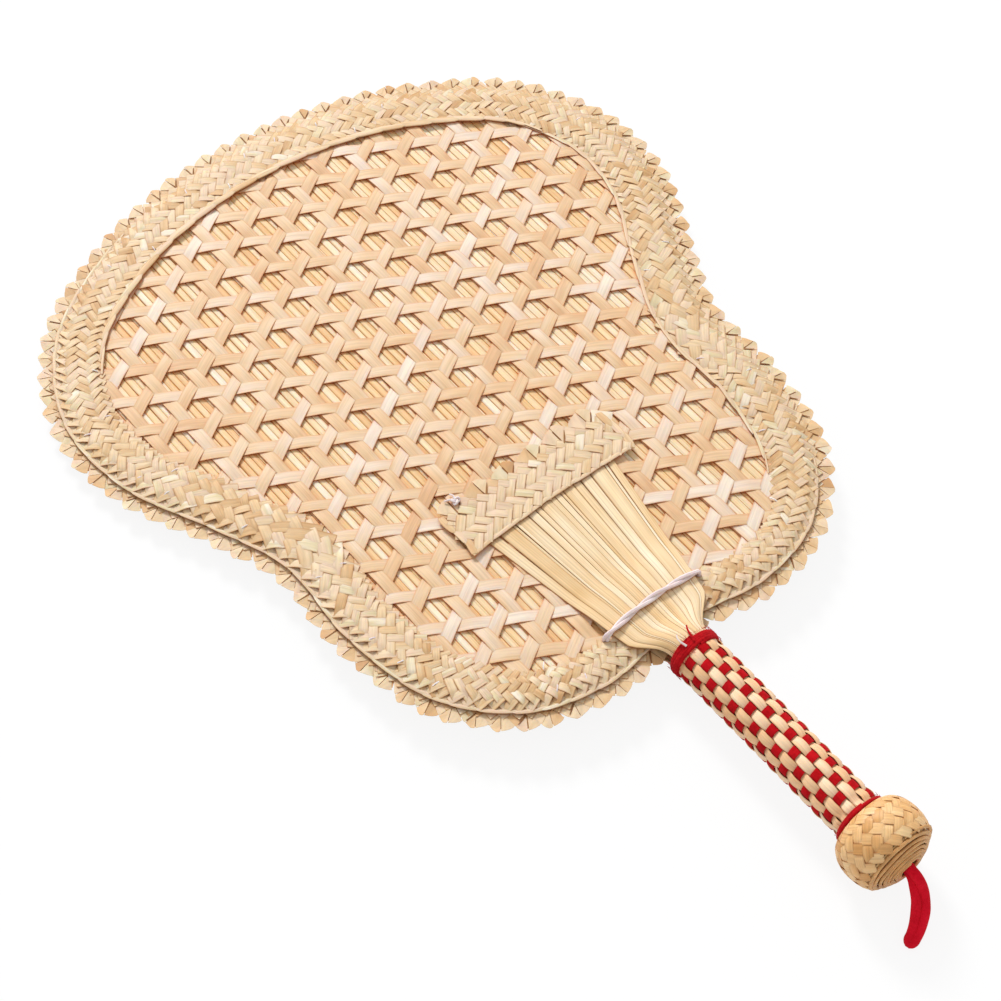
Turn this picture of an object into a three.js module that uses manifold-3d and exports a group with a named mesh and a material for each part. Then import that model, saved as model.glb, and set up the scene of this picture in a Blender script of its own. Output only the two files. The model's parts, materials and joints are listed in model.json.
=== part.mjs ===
// Woven straw hand fan: a two-faced straw leaf in a braided rim, held in a splayed straw
// handle with a red ribbon weave, a woven straw pommel and a red hanging loop.
// Millimetres. The fan lies face up on a table, +X from the handle to the leaf's tip, +Z up.
import * as THREE from 'three';
import { mergeVertices } from 'three/addons/utils/BufferGeometryUtils.js';
import Module from 'manifold-3d';

const wasm = await Module();
wasm.setup();

// Driving dimensions: clearances
const clearance = 0.3;

// Driving dimensions: leaf outline, half of it, from the tip round to the handle side
const leafHalfOutline = [
  [151.5, 0],
  [148, 37],
  [135.5, 77],
  [106.5, 120.5],
  [63.5, 142],
  [21, 139.5],
  [-19, 121],
  [-47, 109.5],
  [-85, 109],
  [-128, 98],
  [-156, 71],
  [-165, 37],
  [-162, 12],
  [-161, 0],
];
const leafLean = THREE.MathUtils.degToRad(-2.1);

// Driving dimensions: leaf layers
const strawThickness = 0.9;
const strawPitch = 3.4;
const strawGroove = 0.3;
const latticeThickness = 0.6;
const rimPlateThickness = 1.2;

// Driving dimensions: open weave of the front
const holePitch = 17.6;
const rowPitch = 15;
const stripWidth = 5;
const weaveOffset = [-5, 2.5];
const edgeMargin = 1;

// Driving dimensions: braided rim
const toothPitch = 9.9;
const toothDepth = 4.2;
const toothBand = 7.5;
const rimWidth = 28;
const rimWidthAtHandle = 23.5;
const rimSlope = 4;
const hoopWidth = 6;

// Driving dimensions: handle
const handleLength = 82.4;
const handleCoreRadius = 8;
const splintCount = 15;
const splintThickness = 0.8;
const splintSpacing = 0.35;
const weftWidth = 2.9;
const weftThickness = 0.6;
const weftPitch = 5.7;
const weftEndMargin = 1.6;
const collarWidth = 4.4;
const collarThickness = 1.6;
const collarToLeaf = 2.9;
const lowerRingWidth = 2.3;
const lowerRingThickness = 2.6;
const pegRadius = 4;
const pegLength = 8;

// Driving dimensions: splayed straws
const splayCount = 13;
const splayLength = 102;
const splayWidthAtCrest = 68;
const splayWidthAtRim = 38.5;
const splayStrawSpacing = 0.35;
const frontArc = THREE.MathUtils.degToRad(74);
const backArc = THREE.MathUtils.degToRad(58);

// Driving dimensions: crest braid over the straws' ends
const crestOverhang = 7;
const crestDepth = 18;
const crestTooth = 6;
const crestTeeth = 6;
const crestSag = 2.2;
const crestThickness = 1.4;
const crestShift = -2.5;
const splayShift = -2.1;
const crestOverlap = 16;

// Driving dimensions: binding thread and its knot
const threadDiameter = 1.8;
const threadSetback = 25.8;
const threadSpan = 45;
const knotRadius = 1.8;

// Driving dimensions: pommel
const pommelRadius = 17.2;
const pommelLength = 23.6;
const pommelShellThickness = 1.2;
const pommelMouthRadius = 11.2;
const baseRopeDiameter = 1.4;
const baseRopePitch = 1.9;
const baseRopeTurns = 5;
const loopHoleRadius = 4.2;
const loopHoleDepth = 2.5;

// Driving dimensions: hanging loop, its middle line from the pommel to its far bend
const cordDiameter = 3.2;
const strandSpacing = 3.5;
const twistLength = 10;
const loopRoute = [
  [0, 0, 0],
  [-4.6, 0.3, -1.2],
  [-8.6, 1.4, -4.2],
  [-12, 3.3, -8],
  [-14.6, 6, -11.8],
  [-16.4, 9, -14.6],
  [-17.6, 12.4, -16.2],
];

// Levels out of the leaf's middle plane
const strawTop = strawThickness / 2;
const latticeBottom = strawTop + clearance;
const latticeTop = latticeBottom + latticeThickness;
const rimBottom = latticeTop + clearance;
const rimTop = rimBottom + rimPlateThickness;
const splayAtRim = rimTop + clearance;
const splayAtCrest = latticeTop + clearance;
const crestBottom = splayAtCrest + splintThickness + clearance;

// Places along the handle's line
const leafNearX = leafHalfOutline[leafHalfOutline.length - 1][0];
const collarX = leafNearX - collarToLeaf;
const handleX = collarX - collarWidth;
const lowerRingX = handleX - clearance - handleLength - clearance;
const pommelX = lowerRingX - lowerRingWidth - clearance;
const pommelEndX = pommelX - pommelLength;
const pommelCentreX = pommelX - pommelLength * 0.42;
const crestX = handleX + splayLength - crestOverlap;
const crestWidth = splayWidthAtCrest + 2 * crestOverhang;

// Materials
const paleStraw = new THREE.MeshStandardMaterial({ color: 0xf0d3a4, roughness: 0.6 });
const innerStraw = new THREE.MeshStandardMaterial({ color: 0xe2b67c, roughness: 0.65 });
const glossyStraw = new THREE.MeshStandardMaterial({ color: 0xf0d398, roughness: 0.45 });
const darkStraw = new THREE.MeshStandardMaterial({ color: 0xdcae74, roughness: 0.6 });
const redFabric = new THREE.MeshStandardMaterial({ color: 0xb80f1a, roughness: 0.9 });
const whiteThread = new THREE.MeshStandardMaterial({ color: 0xefe6e2, roughness: 0.8 });
const bamboo = new THREE.MeshStandardMaterial({ color: 0xc99c5f, roughness: 0.6 });

const fan = new THREE.Group();
const leaf = new THREE.Group();

// Adds one named piece to a group
function addPiece(group, name, geometry, material) {
  const piece = new THREE.Mesh(geometry, material);
  piece.name = name;
  group.add(piece);
  return piece;
}

// A closed surface through rings of points, one ring after another, capped where it is open
function sweepRings(rings, closed) {
  const sides = rings[0].length;
  const positions = [];
  const faces = [];
  for (const ring of rings) {
    for (const point of ring) {
      positions.push(point.x, point.y, point.z);
    }
  }
  const spans = closed ? rings.length : rings.length - 1;
  for (let i = 0; i < spans; i += 1) {
    const here = i * sides;
    const next = ((i + 1) % rings.length) * sides;
    for (let j = 0; j < sides; j += 1) {
      const k = (j + 1) % sides;
      faces.push(here + j, here + k, next + k);
      faces.push(here + j, next + k, next + j);
    }
  }
  if (!closed) {
    const last = (rings.length - 1) * sides;
    for (let j = 1; j < sides - 1; j += 1) {
      faces.push(0, j + 1, j);
      faces.push(last, last + j, last + j + 1);
    }
  }
  const geometry = new THREE.BufferGeometry();
  geometry.setAttribute('position', new THREE.Float32BufferAttribute(positions, 3));
  geometry.setIndex(faces);
  return geometry;
}

// Rings of a tube's section along points; reference gives the side that its section faces
function tubeRings(points, section, reference, closed) {
  const rings = [];
  const count = points.length;
  for (let i = 0; i < count; i += 1) {
    const before = closed ? points[(i + count - 1) % count] : points[Math.max(i - 1, 0)];
    const after = closed ? points[(i + 1) % count] : points[Math.min(i + 1, count - 1)];
    const along = after.clone().sub(before).normalize();
    const side = reference(points[i], i).clone();
    side.addScaledVector(along, -side.dot(along)).normalize();
    const across = new THREE.Vector3().crossVectors(along, side);
    const ring = section.map(([a, b]) => {
      return points[i].clone().addScaledVector(side, a).addScaledVector(across, b);
    });
    rings.push(ring);
  }
  return rings;
}

// A round section with so many sides
function roundSection(radius, sides) {
  const section = [];
  for (let i = 0; i < sides; i += 1) {
    const angle = ((i + 0.5) / sides) * 2 * Math.PI;
    section.push([radius * Math.cos(angle), radius * Math.sin(angle)]);
  }
  return section;
}

// A flat section, thickness by width
function flatSection(thickness, width) {
  const t = thickness / 2;
  const w = width / 2;
  return [[t, -w], [t, w], [-t, w], [-t, -w]];
}

// The least distance between turns of a winding: points at least half a turn apart
function leastGap(points, perTurn, thickness) {
  let least = Infinity;
  for (let i = 0; i < points.length; i += 1) {
    for (let j = i + Math.floor(perTurn / 2); j < points.length; j += 1) {
      least = Math.min(least, points[i].distanceTo(points[j]));
    }
  }
  return least - thickness;
}

// The leaf's edge as a closed curve, and points of it moved inwards
const mirrored = leafHalfOutline.slice(1, -1).reverse().map(([x, y]) => [x, -y]);
const edgePoints = [...leafHalfOutline, ...mirrored].map(([x, y]) => new THREE.Vector3(x, y, 0));
const leafEdge = new THREE.CatmullRomCurve3(edgePoints, true, 'centripetal');
leafEdge.arcLengthDivisions = 1200;
const leafEdgeLength = leafEdge.getLength();

function insetPoint(share, inset) {
  const point = leafEdge.getPointAt(share);
  const along = leafEdge.getTangentAt(share);
  return new THREE.Vector2(point.x - along.y * inset, point.y + along.x * inset);
}

function insetLoop(count, insetAt) {
  const loop = [];
  for (let i = 0; i < count; i += 1) {
    const share = i / count;
    loop.push(insetPoint(share, insetAt(share)));
  }
  return loop;
}

// The rim is narrower beside the handle, which is half way round from the tip
function rimWidthAt(share) {
  const fromHandle = Math.abs(share - 0.5) * leafEdgeLength;
  const blend = THREE.MathUtils.smoothstep(fromHandle, 60, 120);
  return rimWidthAtHandle + (rimWidth - rimWidthAtHandle) * blend;
}

// A flat plate of a shape between two levels
function plate(shape, bottom, top) {
  const geometry = new THREE.ExtrudeGeometry(shape, { depth: top - bottom, bevelEnabled: false });
  geometry.translate(0, 0, bottom);
  return geometry;
}

// A point of the handle's frame seen from the leaf, which leans about the pommel
function toLeaf(x, y) {
  const point = new THREE.Vector2(x, y);
  return point.rotateAround(new THREE.Vector2(pommelCentreX, 0), -leafLean);
}

// The two places where the binding thread goes through the leaf
const threadX = handleX + threadSetback;
const threadHoles = [1, -1].map((side) => toLeaf(threadX, (side * threadSpan) / 2));
const threadHoleRadius = threadDiameter / 2 + clearance;

function addThreadHoles(shape) {
  for (const centre of threadHoles) {
    const hole = new THREE.Path();
    hole.setFromPoints(new THREE.Path().absarc(centre.x, centre.y, threadHoleRadius, 0, 2 * Math.PI, true)
      .getSpacedPoints(8).slice(0, 8));
    shape.holes.push(hole);
  }
  return shape;
}

// Rim: a smooth braid in front and a toothed braid behind, which meet outside the hoop
const smoothSteps = 84;
const toothCount = Math.round(leafEdgeLength / toothPitch);
const innerLoop = insetLoop(smoothSteps, rimWidthAt);
const rimBend = toothBand + rimSlope;
const edgeBottom = clearance / 2;
const edgeTop = edgeBottom + rimPlateThickness;

// A ring swept round the leaf's edge, whose section is given as insets and levels
function edgeRing(steps, sectionAt) {
  const rings = [];
  for (let i = 0; i < steps; i += 1) {
    const share = i / steps;
    rings.push(sectionAt(share, i).map(([inset, level]) => {
      const point = insetPoint(share, inset);
      return new THREE.Vector3(point.x, point.y, level);
    }));
  }
  return sweepRings(rings, true);
}

// Cuts the binding thread's two holes through a piece
function cutThreadHoles(geometry) {
  let solid = toSolid(geometry);
  for (const centre of threadHoles) {
    const hole = new THREE.CylinderGeometry(threadHoleRadius, threadHoleRadius, 4 * rimTop, 8);
    hole.rotateX(Math.PI / 2);
    hole.translate(centre.x, centre.y, 0);
    solid = solid.subtract(toSolid(hole));
  }
  return toGeometry(solid);
}

const frontRim = edgeRing(smoothSteps, (share) => [
  [toothBand, edgeTop],
  [toothBand, edgeBottom],
  [rimBend, rimBottom],
  [rimWidthAt(share), rimBottom],
  [rimWidthAt(share), rimTop],
  [rimBend, rimTop],
]);
addPiece(leaf, 'front_rim_braid', cutThreadHoles(frontRim), paleStraw);

const backRim = edgeRing(2 * toothCount, (share, i) => [
  [i % 2 === 0 ? toothDepth : 0, -edgeBottom],
  [i % 2 === 0 ? toothDepth : 0, -edgeTop],
  [rimBend, -rimTop],
  [rimWidthAt(share), -rimTop],
  [rimWidthAt(share), -rimBottom],
  [rimBend, -rimBottom],
]);
addPiece(leaf, 'back_rim_braid', cutThreadHoles(backRim), paleStraw);

// The hoop that stiffens the rim between the two braids
const hoopInset = rimBend + clearance;
const hoopInner = hoopInset + hoopWidth;
const hoop = edgeRing(smoothSteps, () => [
  [hoopInset, latticeTop],
  [hoopInset, -latticeTop],
  [hoopInner, -latticeTop],
  [hoopInner, latticeTop],
]);
addPiece(leaf, 'rim_hoop', hoop, innerStraw);

// Sheets inside the hoop
const sheetLoop = insetLoop(smoothSteps, () => hoopInner + clearance);

function insideLoop(x, y, loop, margin) {
  let inside = false;
  let nearest = Infinity;
  for (let i = 0; i < loop.length; i += 1) {
    const a = loop[i];
    const b = loop[(i + 1) % loop.length];
    if (a.y > y !== b.y > y && x < ((b.x - a.x) * (y - a.y)) / (b.y - a.y) + a.x) {
      inside = !inside;
    }
    const edge = b.clone().sub(a);
    const share = THREE.MathUtils.clamp(((x - a.x) * edge.x + (y - a.y) * edge.y) / edge.lengthSq(), 0, 1);
    nearest = Math.min(nearest, Math.hypot(x - a.x - share * edge.x, y - a.y - share * edge.y));
  }
  return inside && nearest > margin;
}

// One six-sided hole of the open weave, between strips of three directions
function weaveHole(x, y) {
  const halfHeight = (rowPitch - stripWidth) / 2;
  const slope = Math.atan2(2 * rowPitch, holePitch);
  const reach = (holePitch * Math.sin(slope) - stripWidth) / 2 / Math.sin(slope);
  const shoulder = reach - halfHeight / Math.tan(slope);
  const corners = [
    [reach, 0],
    [shoulder, halfHeight],
    [-shoulder, halfHeight],
    [-reach, 0],
    [-shoulder, -halfHeight],
    [shoulder, -halfHeight],
  ];
  return corners.map(([a, b]) => toLeaf(x + a, y + b));
}

// Holes under the straws and the crest braid are left out, and so are those near the thread
function strawsCover(x, y) {
  const cover = y - crestShift * THREE.MathUtils.smoothstep(x, handleX, crestX);
  const halfWidth = x < crestX ? splayWidthAtCrest / 2 : crestWidth / 2;
  return x < crestX + crestDepth && Math.abs(cover) < halfWidth - rowPitch / 2;
}

function openWeave() {
  const shape = addThreadHoles(new THREE.Shape(sheetLoop));
  const rows = Math.ceil(150 / rowPitch);
  const columns = Math.ceil(180 / holePitch);
  let holes = 0;
  for (let row = -rows; row <= rows; row += 1) {
    for (let column = -columns; column <= columns; column += 1) {
      const x = weaveOffset[0] + (column + (row % 2 === 0 ? 0 : 0.5)) * holePitch;
      const y = weaveOffset[1] + row * rowPitch;
      const corners = weaveHole(x, y);
      const centre = toLeaf(x, y);
      const whole = corners.every((corner) => insideLoop(corner.x, corner.y, sheetLoop, edgeMargin));
      const shows = insideLoop(centre.x, centre.y, innerLoop, 0) && !strawsCover(x, y);
      const clear = threadHoles.every((hole) => hole.distanceTo(centre) > holePitch / 2);
      if (whole && shows && clear) {
        shape.holes.push(new THREE.Path(corners));
        holes += 1;
      }
    }
  }
  console.log('holes in the open weave', holes);
  return shape;
}

addPiece(leaf, 'front_lattice', plate(openWeave(), latticeBottom, latticeTop), paleStraw);
const backSheet = addThreadHoles(new THREE.Shape(sheetLoop));
addPiece(leaf, 'back_lattice', plate(backSheet, -latticeTop, -latticeBottom), paleStraw);

// Solids for cutting
function toSolid(geometry) {
  const bare = geometry.clone();
  bare.deleteAttribute('normal');
  bare.deleteAttribute('uv');
  const merged = mergeVertices(bare, 1e-4);
  return new wasm.Manifold(new wasm.Mesh({
    numProp: 3,
    vertProperties: new Float32Array(merged.attributes.position.array),
    triVerts: new Uint32Array(merged.index.array),
  }));
}

function toGeometry(solid) {
  const mesh = solid.getMesh();
  const geometry = new THREE.BufferGeometry();
  geometry.setAttribute('position', new THREE.BufferAttribute(mesh.vertProperties, 3));
  geometry.setIndex(new THREE.BufferAttribute(mesh.triVerts, 1));
  return geometry;
}

// The layer of straight straws between the lattices, one flattened bead for each straw
function strawLayer() {
  const halfWidth = Math.max(...sheetLoop.map((point) => Math.abs(point.y))) + strawPitch;
  const count = Math.ceil((2 * halfWidth) / strawPitch);
  const top = [];
  const bottom = [];
  for (let i = 0; i <= count; i += 1) {
    const y = (i - count / 2) * strawPitch;
    top.push(new THREE.Vector2(y, strawTop - strawGroove));
    bottom.push(new THREE.Vector2(y, -strawTop));
    if (i < count) {
      top.push(new THREE.Vector2(y + strawPitch * 0.25, strawTop));
      top.push(new THREE.Vector2(y + strawPitch * 0.75, strawTop));
    }
  }
  const outline = [...top, bottom[bottom.length - 1], bottom[0]];
  const from = Math.min(...sheetLoop.map((point) => point.x)) - strawPitch;
  const to = Math.max(...sheetLoop.map((point) => point.x)) + strawPitch;
  const beads = new THREE.ExtrudeGeometry(new THREE.Shape(outline), { depth: to - from, bevelEnabled: false });
  const place = new THREE.Matrix4().makeBasis(
    new THREE.Vector3(0, 1, 0),
    new THREE.Vector3(0, 0, 1),
    new THREE.Vector3(1, 0, 0),
  );
  beads.applyMatrix4(place);
  beads.translate(from, 0, 0);
  const sheet = plate(addThreadHoles(new THREE.Shape(sheetLoop)), -strawThickness, strawThickness);
  return toGeometry(toSolid(beads).intersect(toSolid(sheet)));
}

addPiece(leaf, 'core_straws', strawLayer(), innerStraw);

// Handle: an inner stick, straw splints round it and a red ribbon wound over them
function lathe(profile, segments, turn = 0) {
  const points = profile.map(([x, r]) => new THREE.Vector2(r, x));
  const geometry = new THREE.LatheGeometry(points, segments, turn);
  geometry.rotateZ(-Math.PI / 2);
  return geometry;
}

const pegEndX = pommelX - pegLength;
const stickEndX = pommelX + clearance;
const stickProfile = [
  [pegEndX, 0],
  [pegEndX, pegRadius],
  [stickEndX, pegRadius],
  [stickEndX, handleCoreRadius],
  [collarX, handleCoreRadius],
  [collarX, 0],
];
addPiece(fan, 'handle_stick', lathe(stickProfile, 24), bamboo);

const splintInner = handleCoreRadius + clearance;
const splintOuter = splintInner + splintThickness;

function handleSplint(turn) {
  const half = Math.PI / splintCount - splintSpacing / 2 / splintInner;
  const corners = [];
  for (const share of [-1, -0.4, 0.4, 1]) {
    corners.push([splintOuter - (Math.abs(share) === 1 ? 0.2 : 0), share * half]);
  }
  for (const share of [1, 0, -1]) {
    corners.push([splintInner, share * half]);
  }
  const ring = (x) => corners.map(([r, angle]) => {
    return new THREE.Vector3(x, r * Math.sin(angle + turn), r * Math.cos(angle + turn));
  });
  return sweepRings([ring(handleX - clearance), ring(handleX - clearance - handleLength)], false);
}

for (let i = 0; i < splintCount; i += 1) {
  const name = `handle_splint_${String(i + 1).padStart(2, '0')}`;
  addPiece(fan, name, handleSplint((i / splintCount) * 2 * Math.PI), glossyStraw);
}

// The ribbon is one winding, and each end runs straight for one width
const weftRadius = splintOuter + clearance + weftThickness / 2;
const weftStart = handleX - clearance - weftEndMargin;
const weftTurns = Math.floor((handleLength - 2 * weftEndMargin) / weftPitch);
const weftSteps = 18;
const weftPoints = [];
for (let i = 0; i <= weftTurns * weftSteps; i += 1) {
  const angle = (i / weftSteps) * 2 * Math.PI;
  const x = weftStart - (i / weftSteps) * weftPitch;
  weftPoints.push(new THREE.Vector3(x, weftRadius * Math.sin(angle), weftRadius * Math.cos(angle)));
}
const weftGap = leastGap(weftPoints, weftSteps, weftWidth);
console.log('least gap between turns of the handle ribbon', weftGap.toFixed(2));

function straightEnds(points, length) {
  const first = points[0].clone().sub(points[1]).setLength(length).add(points[0]);
  const count = points.length;
  const last = points[count - 1].clone().sub(points[count - 2]).setLength(length).add(points[count - 1]);
  return [first, ...points, last];
}

const outwards = (point) => new THREE.Vector3(0, point.y, point.z);
const ribbonLine = straightEnds(weftPoints, weftWidth);
const ribbonRings = tubeRings(ribbonLine, flatSection(weftThickness, weftWidth), outwards, false);
addPiece(fan, 'handle_ribbon', sweepRings(ribbonRings, false), redFabric);

// Red rings: a wrapped collar by the leaf and a narrow ring by the pommel
function wrapRing(fromX, toX, inner, outer) {
  const crown = (outer - inner) * 0.3;
  return lathe([
    [fromX, inner],
    [toX, inner],
    [toX, outer - crown],
    [toX + (fromX - toX) * 0.3, outer],
    [toX + (fromX - toX) * 0.7, outer],
    [fromX, outer - crown],
    [fromX, inner],
  ], 24);
}

const collarInner = splintOuter + clearance;
const collar = wrapRing(collarX, handleX, collarInner, collarInner + collarThickness);
addPiece(fan, 'upper_collar', collar, redFabric);
const lowerRing = wrapRing(lowerRingX, lowerRingX - lowerRingWidth, splintInner, splintInner + lowerRingThickness);
addPiece(fan, 'lower_ring', lowerRing, redFabric);

// Splayed straws: half round the stick at the collar, then flat over the leaf like a broom
const splayRise = 12;
const splayFlat = 20;
const splayDrop = 34;
const splayEase = 14;

function splayWidth(s) {
  const atCollar = 2 * splintOuter;
  const early = atCollar + (splayWidthAtRim - atCollar) * Math.sin((Math.min(s / splayFlat, 1) * Math.PI) / 2);
  const rest = Math.max(s - splayFlat, 0) / (splayLength - splayFlat);
  return early + (splayWidthAtCrest - splayWidthAtRim) * rest;
}

function splayPoint(s, share, arc, lift) {
  const spread = THREE.MathUtils.smoothstep(s, collarWidth, splayFlat);
  const angle = share * arc;
  const roundY = (splintInner + lift) * Math.sin(angle);
  const roundZ = (splintInner + lift) * Math.cos(angle);
  const drift = splayShift * (s / splayLength);
  const flatY = (share * splayWidth(s)) / 2 + drift;
  const settle = THREE.MathUtils.smoothstep(s, splayDrop, splayDrop + splayEase);
  const flatZ = splayAtRim + (splayAtCrest - splayAtRim) * settle + lift;
  const level = THREE.MathUtils.smoothstep(s, collarWidth, roundZ < flatZ ? splayRise : splayFlat);
  const y = roundY + (flatY - roundY) * spread;
  const z = roundZ + (flatZ - roundZ) * level;
  return new THREE.Vector3(handleX + s, y, z);
}

function splayStraw(index, arc) {
  const share = (edge) => (2 * (index + edge)) / splayCount - 1;
  const stations = [0, collarWidth, 8, 12, 16, splayFlat, splayDrop, 41, splayDrop + splayEase, splayLength];
  const rings = stations.map((s) => {
    const across = Math.max(splayWidth(s), 2 * arc * splintInner) / splayCount;
    const trim = splayStrawSpacing / 2 / Math.min(across, (2 * arc * splintInner) / splayCount + s);
    const low = share(trim);
    const high = share(1 - trim);
    return [
      splayPoint(s, high, arc, 0),
      splayPoint(s, high, arc, splintThickness),
      splayPoint(s, low, arc, splintThickness),
      splayPoint(s, low, arc, 0),
    ];
  });
  return sweepRings(rings, false);
}

for (let i = 0; i < splayCount; i += 1) {
  const number = String(i + 1).padStart(2, '0');
  addPiece(fan, `front_splay_straw_${number}`, splayStraw(i, frontArc), glossyStraw);
}

for (let i = 0; i < splayCount; i += 1) {
  const number = String(i + 1).padStart(2, '0');
  const straw = splayStraw(i, backArc);
  straw.scale(1, 1, -1);
  straw.setIndex([...straw.index.array].reverse());
  addPiece(fan, `back_splay_straw_${number}`, straw, glossyStraw);
}

// Crest braid, a toothed strip across the straws' ends, in front and behind
const crestStep = (crestWidth - 2 * crestTooth) / crestTeeth;

function crestShape() {
  const half = crestWidth / 2;
  const shape = new THREE.Shape();
  shape.moveTo(crestX - crestSag, crestShift - half);
  shape.lineTo(crestX + crestDepth * 0.8, crestShift - half);
  const first = crestX + crestDepth;
  for (let i = 0; i < crestTeeth; i += 1) {
    const y = crestShift - half + crestTooth + i * crestStep;
    shape.lineTo(first, y);
    shape.lineTo(first + crestTooth, y + crestStep / 2);
  }
  shape.lineTo(first, crestShift + half - crestTooth);
  shape.lineTo(crestX + crestDepth * 0.8, crestShift + half);
  shape.lineTo(crestX - crestSag, crestShift + half);
  shape.quadraticCurveTo(crestX + crestSag, crestShift, crestX - crestSag, crestShift - half);
  return new THREE.Shape(shape.getPoints(8).slice(0, -1));
}

const crestTop = crestBottom + crestThickness;
addPiece(fan, 'front_crest_braid', plate(crestShape(), crestBottom, crestTop), paleStraw);
addPiece(fan, 'back_crest_braid', plate(crestShape(), -crestTop, -crestBottom), paleStraw);

// Binding thread: one closed loop over the straws of both faces and through the leaf
const threadLevel = splayAtRim + splintThickness + clearance + threadDiameter / 2;
const threadHalf = threadSpan / 2;
const threadCorner = 1.8;
const threadLine = [];
for (const face of [1, -1]) {
  for (let i = 0; i <= 6; i += 1) {
    const share = 1 - i / 3;
    const bow = 1.2 * (1 - share * share);
    const y = face * share * (threadHalf - threadCorner);
    threadLine.push(new THREE.Vector3(threadX + bow, y, face * threadLevel));
  }
  const corner = threadLevel - threadCorner * 0.3;
  threadLine.push(new THREE.Vector3(threadX, -face * (threadHalf - threadCorner * 0.3), face * corner));
  threadLine.push(new THREE.Vector3(threadX, -face * threadHalf, face * (threadLevel - threadCorner)));
  threadLine.push(new THREE.Vector3(threadX, -face * threadHalf, -face * (threadLevel - threadCorner)));
  threadLine.push(new THREE.Vector3(threadX, -face * (threadHalf - threadCorner * 0.3), -face * corner));
}
const alongHandle = () => new THREE.Vector3(1, 0, 0);
const threadRings = tubeRings(threadLine, roundSection(threadDiameter / 2, 6), alongHandle, true);
addPiece(fan, 'binding_thread', sweepRings(threadRings, true), whiteThread);

// Knot of the thread that ties the crest braid down
const knot = mergeVertices(new THREE.IcosahedronGeometry(knotRadius, 1).deleteAttribute('normal').deleteAttribute('uv'));
knot.scale(1, 1.3, 0.6);
const knotY = crestShift + crestWidth / 2 - crestTooth - crestStep / 2;
knot.translate(crestX + crestDepth + knotRadius / 2, knotY, crestTop + clearance + knotRadius * 0.6);
addPiece(fan, 'crest_tie_knot', knot, whiteThread);

// Pommel: a stuffed core, a woven shell and a rope coiled on its end
const shellEndX = pommelX - pommelLength * 0.72;

function pommelRadiusAt(x) {
  const front = (x - pommelCentreX) / (pommelX - pommelCentreX);
  const back = (pommelCentreX - x) / (pommelCentreX - pommelEndX);
  if (x > pommelCentreX) {
    return pommelMouthRadius + (pommelRadius - pommelMouthRadius) * Math.sqrt(1 - front ** 2);
  }
  return loopHoleRadius + (pommelRadius - loopHoleRadius) * Math.sqrt(1 - back ** 2.4);
}

function pommelProfile(fromX, toX, steps, inset) {
  const profile = [];
  for (let i = 0; i <= steps; i += 1) {
    const x = fromX + (toX - fromX) * (i / steps);
    profile.push([x, pommelRadiusAt(x) - inset]);
  }
  return profile;
}

const pommelSides = 24;
const facetDown = Math.PI / pommelSides;
const shellOuter = pommelProfile(pommelX, shellEndX, 6, 0);
const shellInner = pommelProfile(shellEndX, pommelX, 6, pommelShellThickness);
const pommelShell = lathe([...shellInner, ...shellOuter, shellInner[0]].reverse(), pommelSides, facetDown);
addPiece(fan, 'pommel_shell', pommelShell, darkStraw);

// The core fills the shell, stops its end with a flange and ends in a low dome with a hole
const ropeRadius = baseRopeDiameter / 2;
const coreInset = pommelShellThickness + clearance;
const flangeX = shellEndX - clearance;
const flangeRadius = pommelRadiusAt(shellEndX) - clearance;
const domeDepth = flangeX - pommelEndX - baseRopeDiameter - clearance;
const domePower = 2.2;

function domeX(radius) {
  return flangeX - domeDepth * (1 - (radius / flangeRadius) ** domePower);
}

const domeProfile = [];
for (let i = 0; i <= 4; i += 1) {
  const radius = flangeRadius + (loopHoleRadius - flangeRadius) * (i / 4);
  domeProfile.push([domeX(radius), radius]);
}
const exitX = domeX(loopHoleRadius);
const coreInner = pommelProfile(pommelX, shellEndX, 4, coreInset);
const coreProfile = [
  [pegEndX - clearance, 0],
  [pegEndX - clearance, pegRadius + clearance],
  [pommelX, pegRadius + clearance],
  ...coreInner,
  [flangeX, pommelRadiusAt(shellEndX) - coreInset],
  ...domeProfile,
  [exitX + loopHoleDepth, loopHoleRadius],
  [exitX + loopHoleDepth, 0],
];
addPiece(fan, 'pommel_core', lathe(coreProfile.toReversed(), pommelSides, facetDown), bamboo);

// The straw rope is one spiral on the dome, and each end runs straight for one diameter
const ropeSteps = 16;
const ropeInner = loopHoleRadius + ropeRadius + clearance;
const ropePoints = [];
for (let i = 0; i <= baseRopeTurns * ropeSteps; i += 1) {
  const angle = (i / ropeSteps) * 2 * Math.PI;
  const radius = ropeInner + (i / ropeSteps) * baseRopePitch;
  const slope = (domeDepth * domePower * (radius / flangeRadius) ** (domePower - 1)) / flangeRadius;
  const x = domeX(radius) - (ropeRadius + clearance) * Math.hypot(1, slope);
  ropePoints.push(new THREE.Vector3(x, radius * Math.sin(angle), radius * Math.cos(angle)));
}
const ropeGap = leastGap(ropePoints, ropeSteps, baseRopeDiameter);
console.log('least gap between turns of the pommel rope', ropeGap.toFixed(2));
const ropeLine = straightEnds(ropePoints, baseRopeDiameter);
const ropeRings = tubeRings(ropeLine, roundSection(ropeRadius, 5), alongHandle, false);
addPiece(fan, 'pommel_end_rope', sweepRings(ropeRings, false), darkStraw);

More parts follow.
